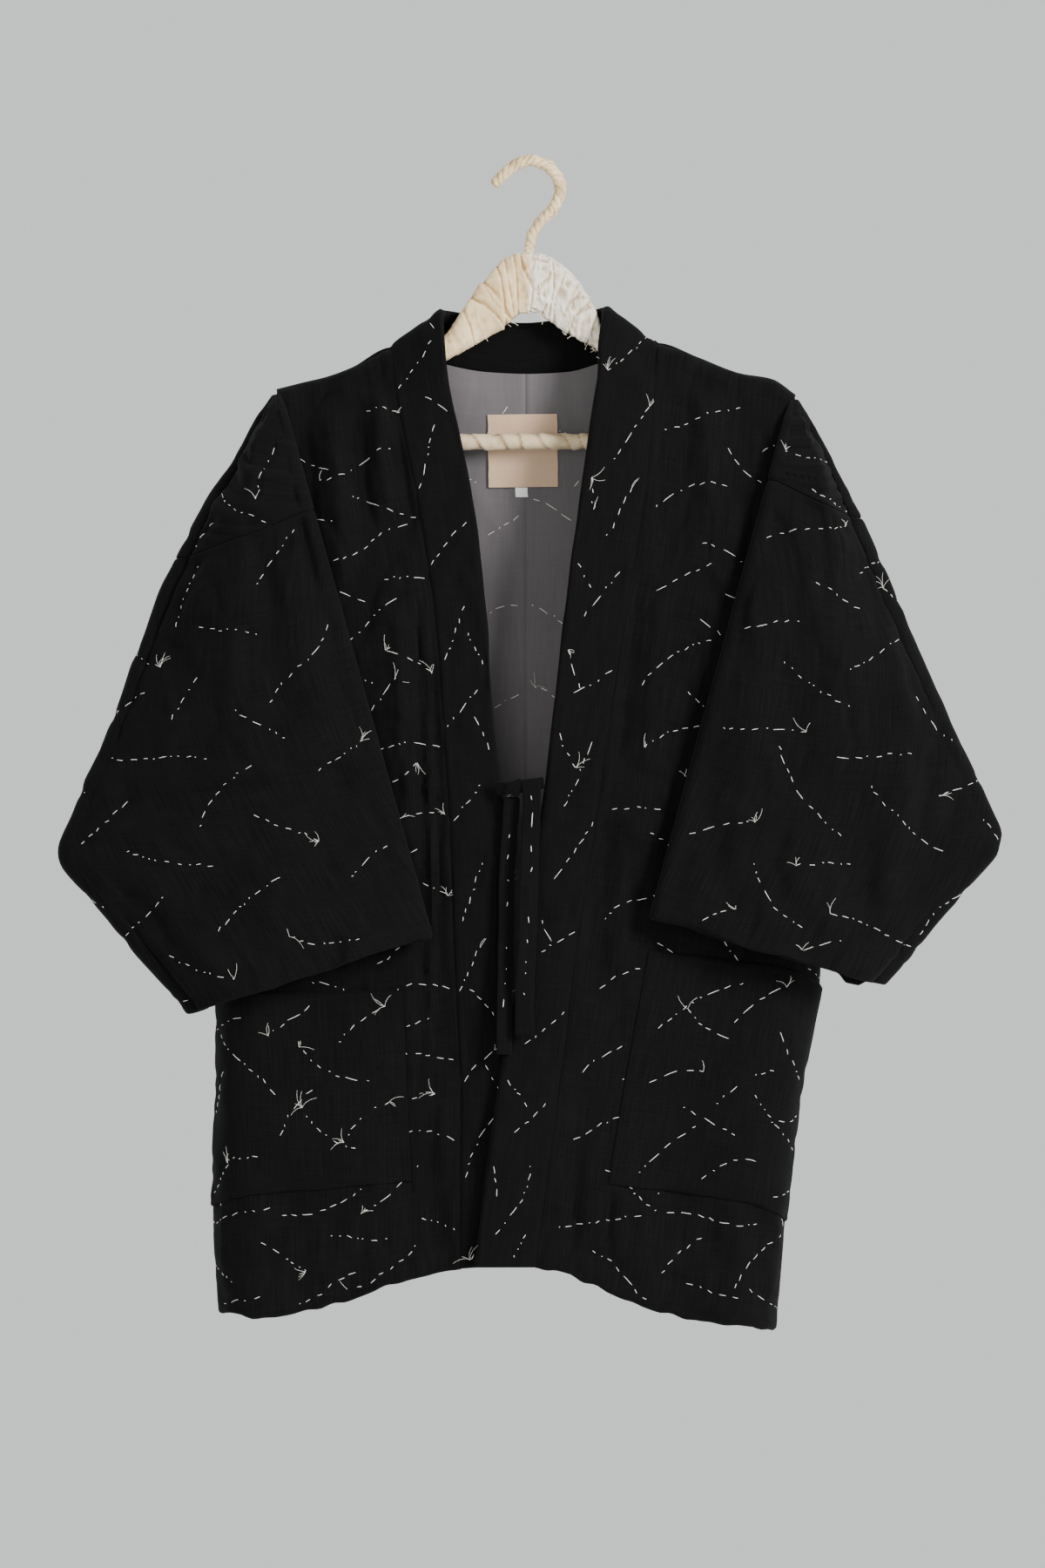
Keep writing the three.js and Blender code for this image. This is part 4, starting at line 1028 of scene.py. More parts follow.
def build_ring(S, name, P, Fs, qs, fs, loop, part):
    global tally
    ni, nj = P.shape[:2]
    s, t = arcs(P, False)
    i = np.arange(ni)[:, None] + 0 * Fs
    rear = smooth(B4 - 2, B4 + 6, i)
    face = smooth(B2 - 1, B2 + 3, i) * smooth(B4 + 1, B4 - 5, i)
    showing = np.clip(face + rear, 0, 1)
    d_seam = t if part else t[:, -1:] - t
    d_cuff = t[:, -1:] - t if part else 1e3 + 0 * t
    if part:
        # the cuff and the outer edge are uneven, and the rear layer hangs a little lower on the right
        along = vnoise(s, 0 * s, 30, S.seed + 31) * 1.6 + vnoise(s, 0 * s, 12, S.seed + 32) * 0.7
        down = unit(P[:, -1] - P[:, -6])
        P = P + (along * smooth(60, 0, d_cuff))[..., None] * down[:, None]
        if S.key == "r":
            u = (i - B4) / (NR - 1 - B4)
            P = P + (5.5 * smooth(0.02, 0.2, u) * smooth(0.85, 0.5, u) * smooth(0.86, 1, Fs))[..., None] * down[:, None]
    N = grid_normals(P, loop)
    mid = B2 + COUNT["face"] // 2
    if N[mid, nj // 2, 1] > 0:
        N = -N
    q = np.interp(Fs, fs, qs)
    a, h = 608 + P[..., 0] / U, 190 - P[..., 2] / U
    edge = smooth(0, 9, d_seam)
    free = smooth(0, 5, d_cuff)
    outer = np.exp(-((i - (B3 + B4) / 2) / 6.0) ** 2)
    D = relief(s, t, S.seed * 5 + 200, 0.45) * 1.65 * showing * edge * free * q * (1 - 0.9 * outer)
    D += folds(a, h, FOLDS) * face * edge * free * q
    D += (1.3 * vnoise(s, t, (40, 200), S.seed + 81) + 0.7 * vnoise(s, t, (20, 90), S.seed + 82)) * rear * edge * free * q
    # outer edge: small scallops where the padding is caught
    D += outer * (0.8 * vnoise(t, 0 * t, 34, S.seed + 51) + 0.35 * vnoise(t, 0 * t, 14, S.seed + 52)) * edge * free * q
    if part == 0:
        # bunched cloth at the shoulder tip
        D += 0.8 * face * vnoise(s + 6 * vnoise(s, t, 15, S.seed + 61), t, (7, 26), S.seed + 62) * smooth(0.15, 0.05, Fs) * smooth(0.02, 0.05, Fs) * q * (1 - outer)
    rng = np.random.default_rng(S.seed + 300 + part)
    if part:
        zone = (B2 + 1, NR - 8, 5, nj - 7)
        runs = run_lines(P, N, zone, 92, 50, 82, -0.6 if S.sgn > 0 else 0.6, 0.008, rng, start=(30, 22))
    else:
        zone = (B2 + 1, NR - 8, 14, nj - 5)
        runs = run_lines(P, N, zone, 80, 42, 66, -0.6 if S.sgn > 0 else 0.6, 0.008, rng, start=(24, 12))
    D -= dents(P, runs)
    if part:
        D -= 1.0 * np.exp(-((d_cuff - 24) / 3.0) ** 2) * (0.6 + 0.4 * vnoise(s, 0 * s, 9, S.seed + 8)) * showing
    taper = seam_taper(d_seam, 7, 0.68 if S.key == "l" else 0.46)
    th = CLOTH * taper * hem_taper(d_cuff) * lerp(0.35, 1, q)
    D = np.maximum(D, -(th - 1.2)) * np.clip(th / CLOTH * 1.3, 0, 1)
    ob, out = wall(name, P, N, th, D, INK, loop)
    place(ob, name)
    st, n = stitches("stitches_" + name, out, N, runs, THREAD, rng, None, tuft=0.3)
    tally += n
    declare(P, loop)


# ---------------------------------------------------------------- collar
STRIP = [
    (597, 1450, None, 530, 1455, None), (591, 1360, None, 530, 1352, None), (583, 1255, None, 531, 1250, None), (577, 1180, None, 528, 1178, None),
    (573, 1100, None, 524, 1090, None), (575, 1010, None, 521, 1005, None), (582, 955, None, 518, 950, None), (574, 890, None, 515, 890, None),
    (565, 800, None, 509, 800, None), (560, 715, None, 502, 710, None), (551, 630, None, 491, 635, None), (541, 560, None, 478, 565, None),
    (527, 495, None, 466, 505, None), (516, 440, None, 457, 455, None), (511, 400, -26, 452, 422, -15), (508, 360, -12, 452, 397, -3),
    (513, 356, 4, 466, 401, 1), (533, 358, 13, 490, 408, 1), (566, 365, 19, 535, 420, 1), (600, 368, 21, 600, 427, 1),
    (636, 365, 19, 668, 419, 1), (668, 357, 15, 714, 405, 1), (690, 352, 7, 738, 398, 1), (692, 357, -12, 753.5, 396.5, -3),
    (687, 395, -26, 753, 422, -15), (686, 430, None, 751, 452, None), (680, 470, None, 746, 495, None), (670, 540, None, 740, 560, None),
    (657, 630, None, 729, 640, None), (646, 720, None, 716, 715, None), (636, 810, None, 700, 810, None), (627, 890, None, 688, 890, None),
    (617, 955, None, 680, 955, None), (609, 1015, None, 671, 1015, None), (599, 1100, None, 658, 1095, None), (583, 1180, None, 649, 1178, None),
    (571, 1250, None, 640, 1245, None), (557, 1350, None, 626, 1350, None), (545, 1453, None, 612, 1453, None),
]


def spline(pts, n_at):
    """Catmull-Rom through pts at the given places (in rows)."""
    pts = np.asarray(pts, float)
    k = np.clip(np.floor(n_at).astype(int), 0, len(pts) - 2)
    t = (n_at - k)[:, None]
    p0, p1, p2, p3 = pts[np.maximum(k - 1, 0)], pts[k], pts[k + 1], pts[np.minimum(k + 2, len(pts) - 1)]
    return 0.5 * (2 * p1 + (p2 - p0) * t + (2 * p0 - 5 * p1 + 4 * p2 - p3) * t ** 2 + (3 * p1 - p0 - 3 * p2 + p3) * t ** 3)


def make_collar():
    global tally
    O, I = [], []
    mid = (len(STRIP) - 1) / 2
    for k, (ai, hi, yi, ao, ho, yo) in enumerate(STRIP):
        right = k > mid
        if yo is None or yo < -10:
            ao = float((R_ if right else L_).seam(ho))

        def y(a, h):
            return float(front_y(a, h)) - (12 * float(smooth(930, 1200, h)) if right else 0)

        o = np.array([float(X(ao)), y(ao, ho) if yo is None else (float(back_y(ao, ho + 2)) if yo > 0 else yo), float(Z(ho))])
        i = np.array([float(X(ai)), y(ao, ho) - 2 if yi is None else yi, float(Z(hi))])
        o = o - unit(i - o) * 1.3
        O.append(o)
        I.append(i)
    O, I = np.array(O), np.array(I)
    mids = (O + I) / 2
    acc = np.concatenate([[0], np.cumsum(np.linalg.norm(np.diff(mids, axis=0), axis=1))])
    d = np.concatenate([[0, 0.4, 1.3, 2.6, 4.4], np.arange(7, acc[-1] - 6, 3.9), acc[-1] - np.array([4.4, 2.6, 1.3, 0.4, 0])])
    at = np.interp(d, acc, np.arange(len(acc)))
    Os, Is = spline(O, at), spline(I, at)
    tan = unit(np.gradient(Os + Is, axis=0))
    wid = Is - Os
    nn = unit(np.cross(wid, tan))
    # smooth the direction so that the band turns evenly over the shoulders
    for _ in range(10):
        nn[1:-1] = unit(nn[:-2] + 2 * nn[1:-1] + nn[2:])
    n = len(d)
    u_out = np.concatenate([[0, 0.02, 0.06, 0.11], np.linspace(0.17, 0.93, 13)])
    arc = np.linspace(-math.pi / 2, math.pi / 2, 9)[1:-1]
    prof_u = np.concatenate([u_out, 0.95 + 0.05 * np.cos(arc), u_out[::-1]])
    side = np.concatenate([np.ones(len(u_out)), -np.sin(arc), -np.ones(len(u_out))])
    m = len(prof_u)
    edge = seam_taper(np.broadcast_to(u_out * 45, (n, len(u_out))), 8, 0.36)
    ends = hem_taper(np.minimum(d, acc[-1] - d), 3.4)[:, None]
    half = BAND / 2 * np.where((at > 13.5) & (at < 24.5), 0.8, 1.0)[:, None]
    t_out = half * edge * ends
    S_, T_ = np.broadcast_to(u_out * 45, (n, len(u_out))), np.broadcast_to(d[:, None], (n, len(u_out)))
    lump = (1.0 * vnoise(S_, T_, (24, 44), 401) + 0.75 * vnoise(S_, T_, (12, 22), 402) + 0.35 * vnoise(S_, T_, 8, 403)) * smooth(0, 8, S_) * ends
    lump -= 0.5 * np.exp(-((S_ - 8) / 3) ** 2) * ends
    base = Os[:, None] + wid[:, None] * u_out[None, :, None]
    G = base + nn[:, None] * (t_out + lump)[..., None]
    GN = np.broadcast_to(nn[:, None], G.shape)
    rng = np.random.default_rng(77)
    runs = run_lines(G, GN, (3, n - 4, 2, len(u_out) - 2), 70, 34, 62, 0.55, 0.006, rng, start=(24, 14), jitter=5)
    dn = dents(G, runs, 1.2, 3.0)
    G = G - nn[:, None] * dn[..., None]
    E = Os[:, None] + wid[:, None] * (0.95 + 0.05 * np.cos(arc))[None, :, None] + nn[:, None] * (half * ends * (-np.sin(arc))[None])[..., None]
    # the free edge is the fold of the band, a little uneven
    E += unit(wid)[:, None] * (0.5 * vnoise(d, 0 * d, 26, 405) * ends[:, 0])[:, None, None]
    B = base[:, ::-1] - nn[:, None] * t_out[:, ::-1, None]
    V = np.concatenate([G, E, B], 1)
    # E runs from the outer face (arc -90 gives +nn) to the inner one
    F, C = [], []
    k, j = np.meshgrid(np.arange(n - 1), np.arange(m), indexing="ij")
    k, j = k.ravel(), j.ravel()
    j2 = (j + 1) % m
    f = np.stack([k * m + j, k * m + j2, (k + 1) * m + j2, (k + 1) * m + j], 1)
    per = np.concatenate([u_out * 45, 45 + np.arange(len(arc)) * 2.0, 60 + (u_out * 45)])
    uvj = np.stack([per[j], per[(j + 1) % m] * (j2 != 0) + (105 * (j2 == 0)), per[(j + 1) % m] * (j2 != 0) + (105 * (j2 == 0)), per[j]], 1)
    uvk = np.stack([d[k], d[k], d[k + 1], d[k + 1]], 1)
    uv = np.stack([uvj, uvk], -1).reshape(-1, 2)
    faces = [tuple(x) for x in f]
    caps = [tuple(range(m))[::-1], tuple((n - 1) * m + np.arange(m))]
    uv = np.concatenate([uv, np.zeros((2 * m, 2))])
    ob = new_object("collar", V.reshape(-1, 3), faces + caps, INK_BAND, uv, 60)
    fix_normals(ob)
    place(ob, "collar")
    sg = 1.0
    st, cnt = stitches("stitches_collar", G, GN * sg, runs, THREAD, rng, None, tuft=0.15)
    tally += cnt
    strip_mid = Os[:, None] + wid[:, None] * u_out[None, :, None]
    declare(strip_mid, False)


def fix_normals(ob):
    import bmesh
    bm = bmesh.new()
    bm.from_mesh(ob.data)
    bmesh.ops.recalc_face_normals(bm, faces=bm.faces)
    bm.to_mesh(ob.data)
    bm.free()


# ---------------------------------------------------------------- lining, label, tab
def make_lining(S):
    global tally
    inset = CLOTH / 2 + GAP + LINING / 2 + 0.35
    us = np.concatenate([[0, 0.003, 0.01], np.linspace(0.025, 1, 44)])
    vs = np.linspace(0, 1, 156)[None, :]
    v0 = lerp(0.0028, 0.03, smooth(0.56, 0.64, us))[:, None]
    P = panel(S, True, 0.93 * us[:, None], 0.975 * (v0 + (1 - v0) * vs))
    P[..., 0] -= S.sgn * 0.5 * smooth(0.03, 0, us)[:, None]
    P[..., 1] -= inset
    s, t = arcs(P)
    atneck = smooth(0.62, 0.55, us)[:, None] * smooth(14, 0, t)
    P[..., 2] += 4.3 * atneck
    P[..., 1] += 1.6 * atneck
    s, t = arcs(P)
    N = grid_normals(P)
    if N[10, 70, 1] > 0:
        N = -N
    e = smooth(0, 8, s)
    D = (0.7 * vnoise(s, t, (26, 70), S.seed + 601) + 0.35 * vnoise(s, t, (11, 26), S.seed + 602)) * e * 0.8 + 0.35
    r, q, _ = seg_dist(608 + P[..., 0] / U, 190 - P[..., 2] / U, [(690, 690), (600, 640), (540, 560)])
    D += 0.9 * np.exp(-(r / 6) ** 2) * e
    up = 1 - np.abs(vnoise(s + 6 * vnoise(s, t, (24, 50), S.seed + 605), t, (19, 120), S.seed + 604)) * 4.0
    D -= 0.85 * np.clip(up, 0, 1) ** 1.5 * e
    D += 0.7 * smooth(7, 2.5, s) * smooth(0, 2.0, s) - 0.5 * smooth(1.6, 0, s)
    rng = np.random.default_rng(S.seed + 610)
    runs = run_lines(P, N, (3, 44, 5, 146), 84, 40, 62, 0.55, 0.009, rng, start=(20, 14))
    D -= dents(P, runs, 0.5, 2.4)
    th = np.full(P.shape[:2], 1.2) * (0.5 + 0.5 * smooth(0, 2.5, s))
    ob, out = wall("lining_" + S.key, P, N, th, D, GREY, inner=np.full(P.shape[:2], 0.5))
    place(ob, "lining_" + S.key)
    st, n = stitches("stitches_lining_" + S.key, out, N, runs, THREAD, rng, None, dash=(5, 9), gap=(2.5, 4), radius=0.26, tuft=0.1, lift=0.35)
    tally += n
    declare(P, False)


def patch(name, corners, mat, off, thick, wave, node, n=26):
    c = np.array(corners, float)
    u, v = np.meshgrid(np.linspace(0, 1, n), np.linspace(0, 1, n), indexing="ij")
    a = lerp(lerp(c[0][0], c[1][0], u), lerp(c[3][0], c[2][0], u), v)
    h = lerp(lerp(c[0][1], c[1][1], u), lerp(c[3][1], c[2][1], u), v)
    y = back_y(0 * a + 600, h) - CLOTH / 2 - 2 * GAP - LINING - 0.4 - off
    P = np.stack([X(a), y, Z(h)], -1)
    s, t = arcs(P)
    N = grid_normals(P)
    if N[n // 2, n // 2, 1] > 0:
        N = -N
    D = wave * (0.6 * vnoise(s, t, 18, 31) + 0.3 * vnoise(s, t, 7, 32)) + wave * 0.6
    P[..., 0] += 0.25 * vnoise(t, 0 * t, 5, 34) * np.where(u < 0.02, 1, np.where(u > 0.98, 1, 0))
    th = np.full(P.shape[:2], thick)
    ob, out = wall(name, P, N, th, D, mat)
    place(ob, node)
    return ob, P, out, N


# ---------------------------------------------------------------- ties
def loft(name, C, A, B, prof, mat, node=None, sharp=60, uvw=None):
    """A closed profile carried along C: each section is C + A * prof_x + B * prof_y."""
    C, A, B = (np.asarray(v, float) for v in (C, A, B))
    prof = np.asarray(prof, float)
    n = len(C)
    if prof.ndim == 2:
        prof = np.broadcast_to(prof, (n, *prof.shape))
    m = prof.shape[1]
    V = C[:, None] + A[:, None] * prof[..., :1] + B[:, None] * prof[..., 1:]
    k, j = np.meshgrid(np.arange(n - 1), np.arange(m), indexing="ij")
    k, j = k.ravel(), j.ravel()
    j2 = (j + 1) % m
    f = np.stack([k * m + j, k * m + j2, (k + 1) * m + j2, (k + 1) * m + j], 1)
    acc = np.concatenate([[0], np.cumsum(np.linalg.norm(np.diff(C, axis=0), axis=1))])
    per = np.concatenate([[0], np.cumsum(np.linalg.norm(np.diff(V[n // 2], axis=0), axis=1))])
    tot = per[-1] + np.linalg.norm(V[n // 2, 0] - V[n // 2, -1])
    pj2 = np.where(j2 == 0, tot, per[j2])
    uv = np.stack([np.stack([per[j], pj2, pj2, per[j]], 1), np.stack([acc[k], acc[k], acc[k + 1], acc[k + 1]], 1)], -1).reshape(-1, 2)
    uv = np.concatenate([uv, np.zeros((2 * m, 2))])
    faces = [tuple(x) for x in f] + [tuple(range(m))[::-1], tuple((n - 1) * m + np.arange(m))]
    ob = new_object(name, V.reshape(-1, 3), faces, mat, uv, sharp)
    fix_normals(ob)
    if node:
        place(ob, node)
    return ob, V


def flat_profile(w, t, m=20):
    th = 2 * math.pi * np.arange(m) / m
    c, s = np.cos(th), np.sin(th)
    return np.stack([w / 2 * np.sign(c) * np.abs(c) ** 0.35, t / 2 * np.sign(s) * np.abs(s) ** 0.55], -1)


def make_tie(name, rows, w, sway, seed):
    global tally
    pts = np.array([[float(X(a)), y, float(Z(h))] for a, h, y in rows])
    at = np.linspace(0, len(pts) - 1, 90)
    C = spline(pts, at)
    z = C[:, 2]
    C[:, 0] += sway * vnoise(z, 0 * z, 60, seed) * smooth(0, 20, pts[0, 2] - z)
    C[:, 1] += 0.8 * vnoise(z, 0 * z, 40, seed + 1) - 0.6
    tw = 0.28 * vnoise(z, 0 * z, 55, seed + 2)
    A = np.stack([np.cos(tw), np.sin(tw), 0 * tw], -1)
    tan = unit(np.gradient(C, axis=0))
    A = unit(A - (A * tan).sum(-1, keepdims=True) * tan)
    B = np.cross(tan, A)
    prof = np.array([flat_profile(w * (1 + 0.05 * float(vnoise(zz, 0, 16, seed + 3))), TIE_T * (1 + 0.12 * float(vnoise(zz, 0, 9, seed + 4)))) for zz in z])
    prof[0] *= 0.85
    prof[-1] *= np.array([0.97, 0.55])
    ob, V = loft(name, C, A, B, prof, INK_BAND, name)
    # a few stitches down the middle
    Bf = np.where((B[:, 1:2] > 0), -B, B)
    G = np.stack([C - A * w * 0.3, C, C + A * w * 0.3], 0) + (Bf * (TIE_T / 2))[None]
    GN = np.broadcast_to(Bf[None], G.shape)
    rng = np.random.default_rng(seed)
    runs = []
    for j0, j1, x0, x1 in ((14, 40, 0.9, 1.2), (52, 80, 1.2, 0.8)):
        k = int(abs(C[j0, 2] - C[j1, 2]) / 1.5)
        runs.append(np.stack([np.linspace(x0, x1, k), np.linspace(j0, j1, k)], -1))
    st, n = stitches("stitches_" + name, G, GN, runs, THREAD, rng, None, tuft=0, dash=(3, 6), gap=(7, 16), radius=0.27)
    tally += n
    mid = np.stack([C - A * w / 2, C + A * w / 2], 0)
    declare(mid, False)


def make_knot():
    """Two bands tied over each other, between the edges of the collar."""
    cx, cy, cz = float(X(597)), -73.0, float(Z(905))
    V, F, UV = [], [], []
    base = 0

    def band(P0, width, thick, roll):
        nonlocal base
        C = spline(np.array(P0, float), np.linspace(0, len(P0) - 1, 40))
        tan = unit(np.gradient(C, axis=0))
        A = unit(np.cross(tan, np.array(roll, float)))
        B = np.cross(tan, A)
        prof = np.array([flat_profile(width * (1 + 0.1 * float(vnoise(k * 2.0, 0, 9, 71))), thick, 16) for k in range(40)])
        v = C[:, None] + A[:, None] * prof[..., :1] + B[:, None] * prof[..., 1:]
        n, m = 40, 16
        k, j = np.meshgrid(np.arange(n - 1), np.arange(m), indexing="ij")
        k, j = k.ravel(), j.ravel()
        f = np.stack([k * m + j, k * m + (j + 1) % m, (k + 1) * m + (j + 1) % m, (k + 1) * m + j], 1)
        V.append(v.reshape(-1, 3))
        for x in f:
            F.append(tuple(x + base))
            UV.extend([(0, 0), (1, 0), (1, 1), (0, 1)])
        F.append(tuple(base + np.arange(m))[::-1])
        F.append(tuple(base + (n - 1) * m + np.arange(m)))
        UV.extend([(0, 0)] * (2 * m))
        base += n * m

    band([(cx - 19, cy + 1, cz - 0.5), (cx - 12, cy - 2, cz + 0.5), (cx - 4, cy - 4.0, cz + 0.5), (cx + 6, cy - 3, cz + 2.5), (cx + 19, cy - 1, cz + 4.5)], 9.5, 3.6, (0, 1, 0.1))
    band([(cx - 18, cy + 1, cz + 2.5), (cx - 11, cy - 3.4, cz + 2.0), (cx - 5, cy - 5.2, cz - 2.5), (cx - 1, cy - 3.5, cz - 5)], 5.5, 2.8, (0, 1, 0.4))
    band([(cx - 15, cy, cz - 5), (cx - 11, cy - 4.0, cz - 2), (cx - 6, cy - 5.6, cz + 2.5), (cx + 1, cy - 3.0, cz + 6)], 5.0, 2.6, (0, 1, -0.3))
    ob = new_object("tie_knot", np.concatenate(V), F, INK_BAND, np.array(UV, float), 60)
    fix_normals(ob)
    place(ob, "tie_knot")


# ---------------------------------------------------------------- hanger
ARMS = np.array([[328, 470, 482], [345, 463, 489], [375, 453, 486], [405, 439, 474], [450, 415, 454], [490, 400, 434], [505, 388, 420], [514, 379, 412], [520, 370.5, 408.5], [527, 359.5, 405], [540, 340, 398], [552, 325, 391], [563, 312, 384], [576, 298.5, 375], [590, 290.5, 364], [601, 289, 357.5],
                 [614, 289.5, 356.5], [628, 292, 365], [640, 297.5, 373], [652, 307.5, 381], [664, 320.5, 387], [675, 336.5, 393],
                 [685, 356, 399], [692, 376, 405], [698, 384, 411], [720, 394, 428], [755, 418, 450], [800, 430, 466], [850, 449, 482], [882, 456, 489], [902, 474, 484]], float)
WRAPS = [  # edges of the wound strips: places, height mm, fall-off mm
    ([(566, 298), (574, 318), (578, 345), (580, 378)], 0.9, 7), ([(546, 318), (562, 330), (574, 343), (586, 368)], 0.9, 8),
    ([(536, 340), (556, 350), (570, 362), (581, 378)], 1.0, 8), ([(530, 356), (538, 372), (545, 398)], 0.8, 7),
    ([(596, 288), (599, 306), (611, 330), (607, 362)], 1.1, 6), ([(588, 288), (592, 315), (594, 364)], 0.7, 5),
    ([(577, 292), (584, 330), (590, 366)], 0.5, 5), ([(548, 320), (572, 352), (590, 368)], 0.6, 6),
    ([(612, 296), (634, 303), (628, 318), (614, 330)], 0.8, 3.5), ([(634, 300), (635, 330), (628, 366)], 0.8, 5),
    ([(648, 312), (636, 344), (634, 370)], 0.7, 5), ([(668, 330), (652, 348), (662, 362), (680, 352)], 0.7, 4),
    ([(676, 344), (658, 362), (650, 386)], 0.8, 6), ([(616, 338), (630, 340), (622, 356), (610, 350)], 0.6, 3),
    ([(662, 326), (646, 360)], 0.5, 4), ([(684, 362), (672, 396)], 0.6, 5),
]


def paint_crease_shade(ob, D, gain, loop_axis=1):
    """Paint shade into what lies lower than the surface round it: a vertex colour, highest in the deepest creases, that
    darkens the colour there.
    """
    B = D.copy()
    for _ in range(9):
        B[1:-1] = (B[:-2] + 2 * B[1:-1] + B[2:]) / 4
        B = (np.roll(B, 1, loop_axis) + 2 * B + np.roll(B, -1, loop_axis)) / 4
    c = np.clip((B - D) * gain, 0, 1).ravel()
    lay = ob.data.color_attributes.new(name="crease_shade", type="FLOAT_COLOR", domain="POINT")
    lay.data.foreach_set("color", np.stack([c, c, c, np.ones_like(c)], -1).ravel())


def make_arms():
    top, bot = Tab(ARMS[:, [0, 1]]), Tab(ARMS[:, [0, 2]])
    a = np.concatenate([np.linspace(328, 504, 46)[:-1], np.linspace(504, 696, 170)[:-1], np.linspace(696, 902, 54)])
    m = 84
    n = len(a)
    th = 2 * math.pi * np.arange(m) / m
    c, s = np.cos(th), np.sin(th)
    zt, zb = Z(top(a)), Z(bot(a))
    cz, rz = (zt + zb) / 2, (zt - zb) / 2
    endr = np.sqrt(np.clip(1 - (1 - np.clip(np.minimum(a - 328, 902 - a) / 8, 0, 1)) ** 2, 0, 1)) * 0.75 + 0.25
    V = np.zeros((n, m, 3))
    V[..., 0] = X(a)[:, None]
    V[..., 1] = (ARM_Y * np.sign(c) * np.abs(c) ** 0.6)[None] * endr[:, None]
    V[..., 2] = cz[:, None] + rz[:, None] * endr[:, None] * (np.sign(s) * np.abs(s) ** 0.8)[None]
    N = grid_normals(V.transpose(1, 0, 2), True).transpose(1, 0, 2)
    if (N[n // 2, 0] * np.array([0, 1.0, 0])).sum() < 0:
        N = -N
    aa, hh = 608 + V[..., 0] / U, 190 - V[..., 2] / U
    front = smooth(0.3, -0.3, N[..., 1])
    D = np.zeros((n, m))
    for pts, amp, fall in WRAPS:
        r, t, sd = seg_dist(aa, hh, pts)
        soft = smooth(0, 0.1, t) * smooth(1, 0.9, t) * 0.6 + 0.4
        sd_r = r * sd
        prof = smooth(-0.7, 0.5, sd_r) * np.exp(-np.maximum(sd_r, 0) / fall)
        D += 2.0 * amp * prof * front * soft * (r < 30)
        D -= 0.9 * amp * np.exp(-((sd_r + 1.0) / 0.8) ** 2) * front * soft * (r < 30)
    # the far side and the covered parts: plain even winding
    ang = aa * 0.055 + hh * 0.02 * np.sign(aa - 608)
    saw = (ang * 1.4) % 1.0
    D += 0.7 * (smooth(0, 0.12, saw) * (1 - saw)) * (1 - front * ((aa > 512) & (aa < 690)))
    x, z = V[..., 0], V[..., 2]
    D += 0.45 * vnoise(x, z + 3 * V[..., 1], 9, 801) + 0.28 * vnoise(x, z + 2 * V[..., 1], 4, 802)
    right = smooth(604, 616, aa)
    D += 1.5 * right * (1 - np.abs(vnoise(x + 3 * vnoise(x, z, 8, 806), z + V[..., 1], (8, 11), 803)) * 2.6).clip(0, 1) ** 2 * front
    D += 0.7 * right * (1 - np.abs(vnoise(x, z, (4, 5), 804)) * 2.6).clip(0, 1) ** 2 * front
    D += 0.35 * (1 - right) * (1 - np.abs(vnoise(x + 0.5 * z, z - 0.6 * x, (4, 26), 805)) * 2.8).clip(0, 1) ** 2 * front
    D += 1.0 * np.exp(-((aa - 606 - 3 * vnoise(z, 0 * z, 6, 807)) / 4.5) ** 2) * (0.4 + vnoise(x, z, 3, 808)) * front
    D *= endr[:, None]
    V = V + N * (D - 0.5)[..., None]
    k, j = np.meshgrid(np.arange(n - 1), np.arange(m), indexing="ij")
    k, j = k.ravel(), j.ravel()
    f = np.stack([k * m + j, k * m + (j + 1) % m, (k + 1) * m + (j + 1) % m, (k + 1) * m + j], 1)
    faces = [tuple(q) for q in f] + [tuple(range(m))[::-1], tuple((n - 1) * m + np.arange(m))]
    ob = new_object("hanger_arms", V.reshape(-1, 3), faces, WRAP, None, 75)
    fix_normals(ob)
    # painted shade: the wrapping's creases are darkened in its colour
    paint_crease_shade(ob, D, 1.5)
    place(ob, "hanger_arms")
    # loose threads along the wrapping's lower edges and the join
    rng = np.random.default_rng(88)
    T, TN = [], []
    for a0, h0, spread in ((582, 370, 6), (545, 390, 7), (552, 386, 6), (606, 355, 6), (600, 290, 4), (606, 288, 5), (612, 291, 4), (680, 398, 6), (670, 392, 6),
                           (664, 326, 4), (640, 303, 4), (620, 350, 4), (541, 393, 4), (607, 300, 3), (608, 316, 3), (607, 334, 3), (609, 346, 3), (604, 286, 6),
                           (650, 314, 5), (676, 340, 5), (632, 318, 5), (626, 362, 5), (655, 384, 6)):
        for _ in range(5):
            p = np.array([float(X(a0 + rng.uniform(-spread, spread))), -9.2 + rng.uniform(-0.6, 1.2), float(Z(h0 + rng.uniform(-2, 2)))])
            ln = rng.uniform(2.0, 5.5)
            an = rng.uniform(0, 2 * math.pi)
            t = np.linspace(0, 1, 7)[:, None]
            line = p + np.array([math.cos(an), -0.25, math.sin(an)]) * ln * t + np.array([math.sin(an), 0, -math.cos(an)]) * ln * rng.uniform(-0.6, 0.6) * t * t
            T.append(line)
            TN.append(np.broadcast_to(np.array([0, -1.0, 0.1]), line.shape))
    v, f, cc = tubes(np.array(T), np.array(TN), 0.14, 5)
    ob = new_object("hanger_frays", v, [tuple(q) for q in f] + [tuple(q) for q in cc], FRAY)
    place(ob, None)


